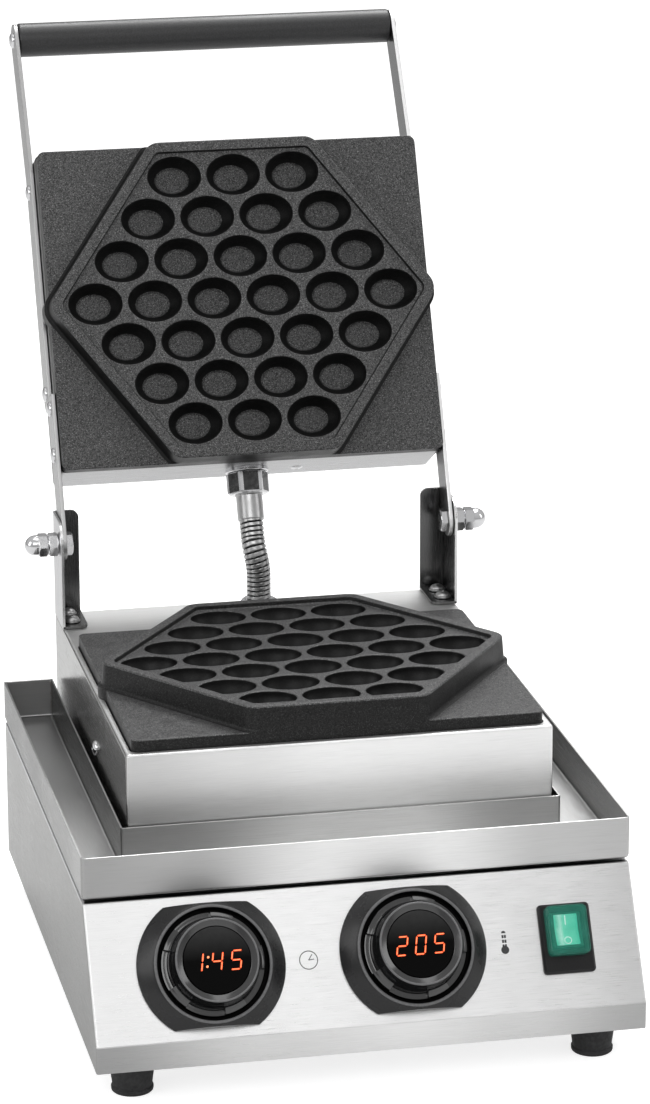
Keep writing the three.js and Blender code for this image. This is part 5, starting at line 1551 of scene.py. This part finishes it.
cover_plastic, tree, shader = new_material("cover_plastic", (0.02, 0.26, 0.18), 0.12)
cover_cloud = noise(tree, 160, 3)
weathered(tree, shader, cover_cloud, (0.016, 0.22, 0.15), (0.03, 0.31, 0.22), 0.08, 0.18)
shader.inputs["Alpha"].default_value = 0.36
cover_outline = rectangle(23.9, 28.4, 3.4)
cover_edge, cover_low, cover_top, cover_wall = 1.3, 3.3, 9.3, 1.0
inner_outline = inset(cover_outline, cover_wall)
inner_levels = [(0, cover_low), (0, 7.4), (0.9, 8.3)]
inner_rings = [level(inset(inner_outline, depth), z) for depth, z in inner_levels]
cover_rings = [level(cover_outline, cover_low), *high_edge(cover_outline, cover_edge, cover_top, 5)]
splash_cover = Skin()
outside = splash_cover.stack(cover_rings)
inside = splash_cover.stack(inner_rings)
splash_cover.fill(outside[-1])
splash_cover.fill(inside[-1])
splash_cover.fill(outside[0], [inside[0]])
cover_place = panel_place @ shift(switch_across, switch_up + window_rise, 0)
cover_piece = make(splash_cover, "splash_cover", cover_plastic, cover_place, crisp=34)
fit(cover_piece, "base", "green_plastic", "switch_cover")


# Signs beside the controls.
# A clock and a thermometer, printed on the panel in dark ink, each drawn here as a thin film.
sign_ink, tree, shader = new_material("sign_ink", (0.03, 0.03, 0.032), 0.55)
ink_cloud = noise(tree, 1200, 2)
weathered(tree, shader, ink_cloud, (0.022, 0.022, 0.024), (0.05, 0.05, 0.052), 0.5, 0.62)
film_low, film_high = 0.01, 0.06
hand_half = 0.22
clock_across, clock_up = -33.4, 39.5
thermometer_across, thermometer_up = 79.2, 36.2
clock = Skin()
hoop(clock, [(4.85, film_low), (5.35, film_low), (5.35, film_high), (4.85, film_high)], 64)
for end in (Vector((2.2, 3.1)), Vector((3.1, 0.35))):
    aside = Vector((-end.y, end.x)).normalized() * hand_half
    hand = [-aside, end - aside, end + aside, aside]
    clock.solid([[(*point, film_low) for point in hand], [(*point, film_high) for point in hand]])
sign = make(clock, "clock_sign", sign_ink, panel_place @ shift(clock_across, clock_up, 0))
fit(sign, "base", "black_plastic")
thermometer = Skin()
dome = [(1.25 * math.cos(math.pi * j / 10), 9.5 + 1.35 * math.sin(math.pi * j / 10)) for j in range(11)]
bulb = [(2.3 * math.cos(math.pi * j / 16), 2.3 * math.sin(math.pi * j / 16)) for j in range(32)]
blocks = [rectangle(1.12, high - low, 0.1, side * 0.69, (low + high) / 2, steps=1)
          for low, high in ((1.9, 3.2), (4.0, 5.8), (6.7, 8.5)) for side in (-1, 1)]
for shape in (dome, bulb, *blocks):
    thermometer.solid([level(shape, film_low), level(shape, film_high)])
sign_place = panel_place @ shift(thermometer_across, thermometer_up, 0)
sign = make(thermometer, "thermometer_sign", sign_ink, sign_place)
fit(sign, "base", "black_plastic")


# Controller board and mains cord gland.
# The board stands on four posts inside the body. The gland is a black nylon nut in the back wall,
# with a domed collar round the bore of the cord.
board_green, tree, shader = new_material("board_green", (0.02, 0.09, 0.05), 0.4)
tracks = noise(tree, 260, 1, sharp=0.2)
tree.links.new(mixed(tree, graded(tree, tracks, 0, 1, 0.49, 0.51), (0.012, 0.07, 0.04), (0.03, 0.13, 0.07)),
               shader.inputs["Base Color"])
tree.links.new(graded(tree, tracks, 0.3, 0.5), shader.inputs["Roughness"])
refinish("controller_board", board_green)
nylon, tree, shader = new_material("gland_nylon", (0.02, 0.02, 0.021), 0.45)
nylon_grain = noise(tree, 900, 3)
weathered(tree, shader, nylon_grain, (0.014, 0.014, 0.015), (0.03, 0.03, 0.031), 0.38, 0.55)
bumped(tree, shader, nylon_grain, 0.03, 0.5)
collar = Skin()
collar.solid(six_sided(12.5, 0.3, 7.0, 0.2, 0.9))
collar_section = [
    (0, 7.1), (4.4, 7.1), (4.4, 13.5), (4.8, 13.9), (6.6, 13.9), (7.6, 13.2), (8, 12), (8, 0.4), (0, 0.4),
]
spin(collar, collar_section)
spin(collar, [(0, -8), (7.6, -8), (7.6, 0.35), (0, 0.35)])
cord_across, cord_up = -104.876, 48
rear_place = shift(cord_across, body_rear, cord_up) @ Matrix.Rotation(math.radians(-90), 4, "X")
fit(make(collar, "cord_gland_nut", nylon, rear_place, crisp=30), "base", "black_plastic", "cord_gland")
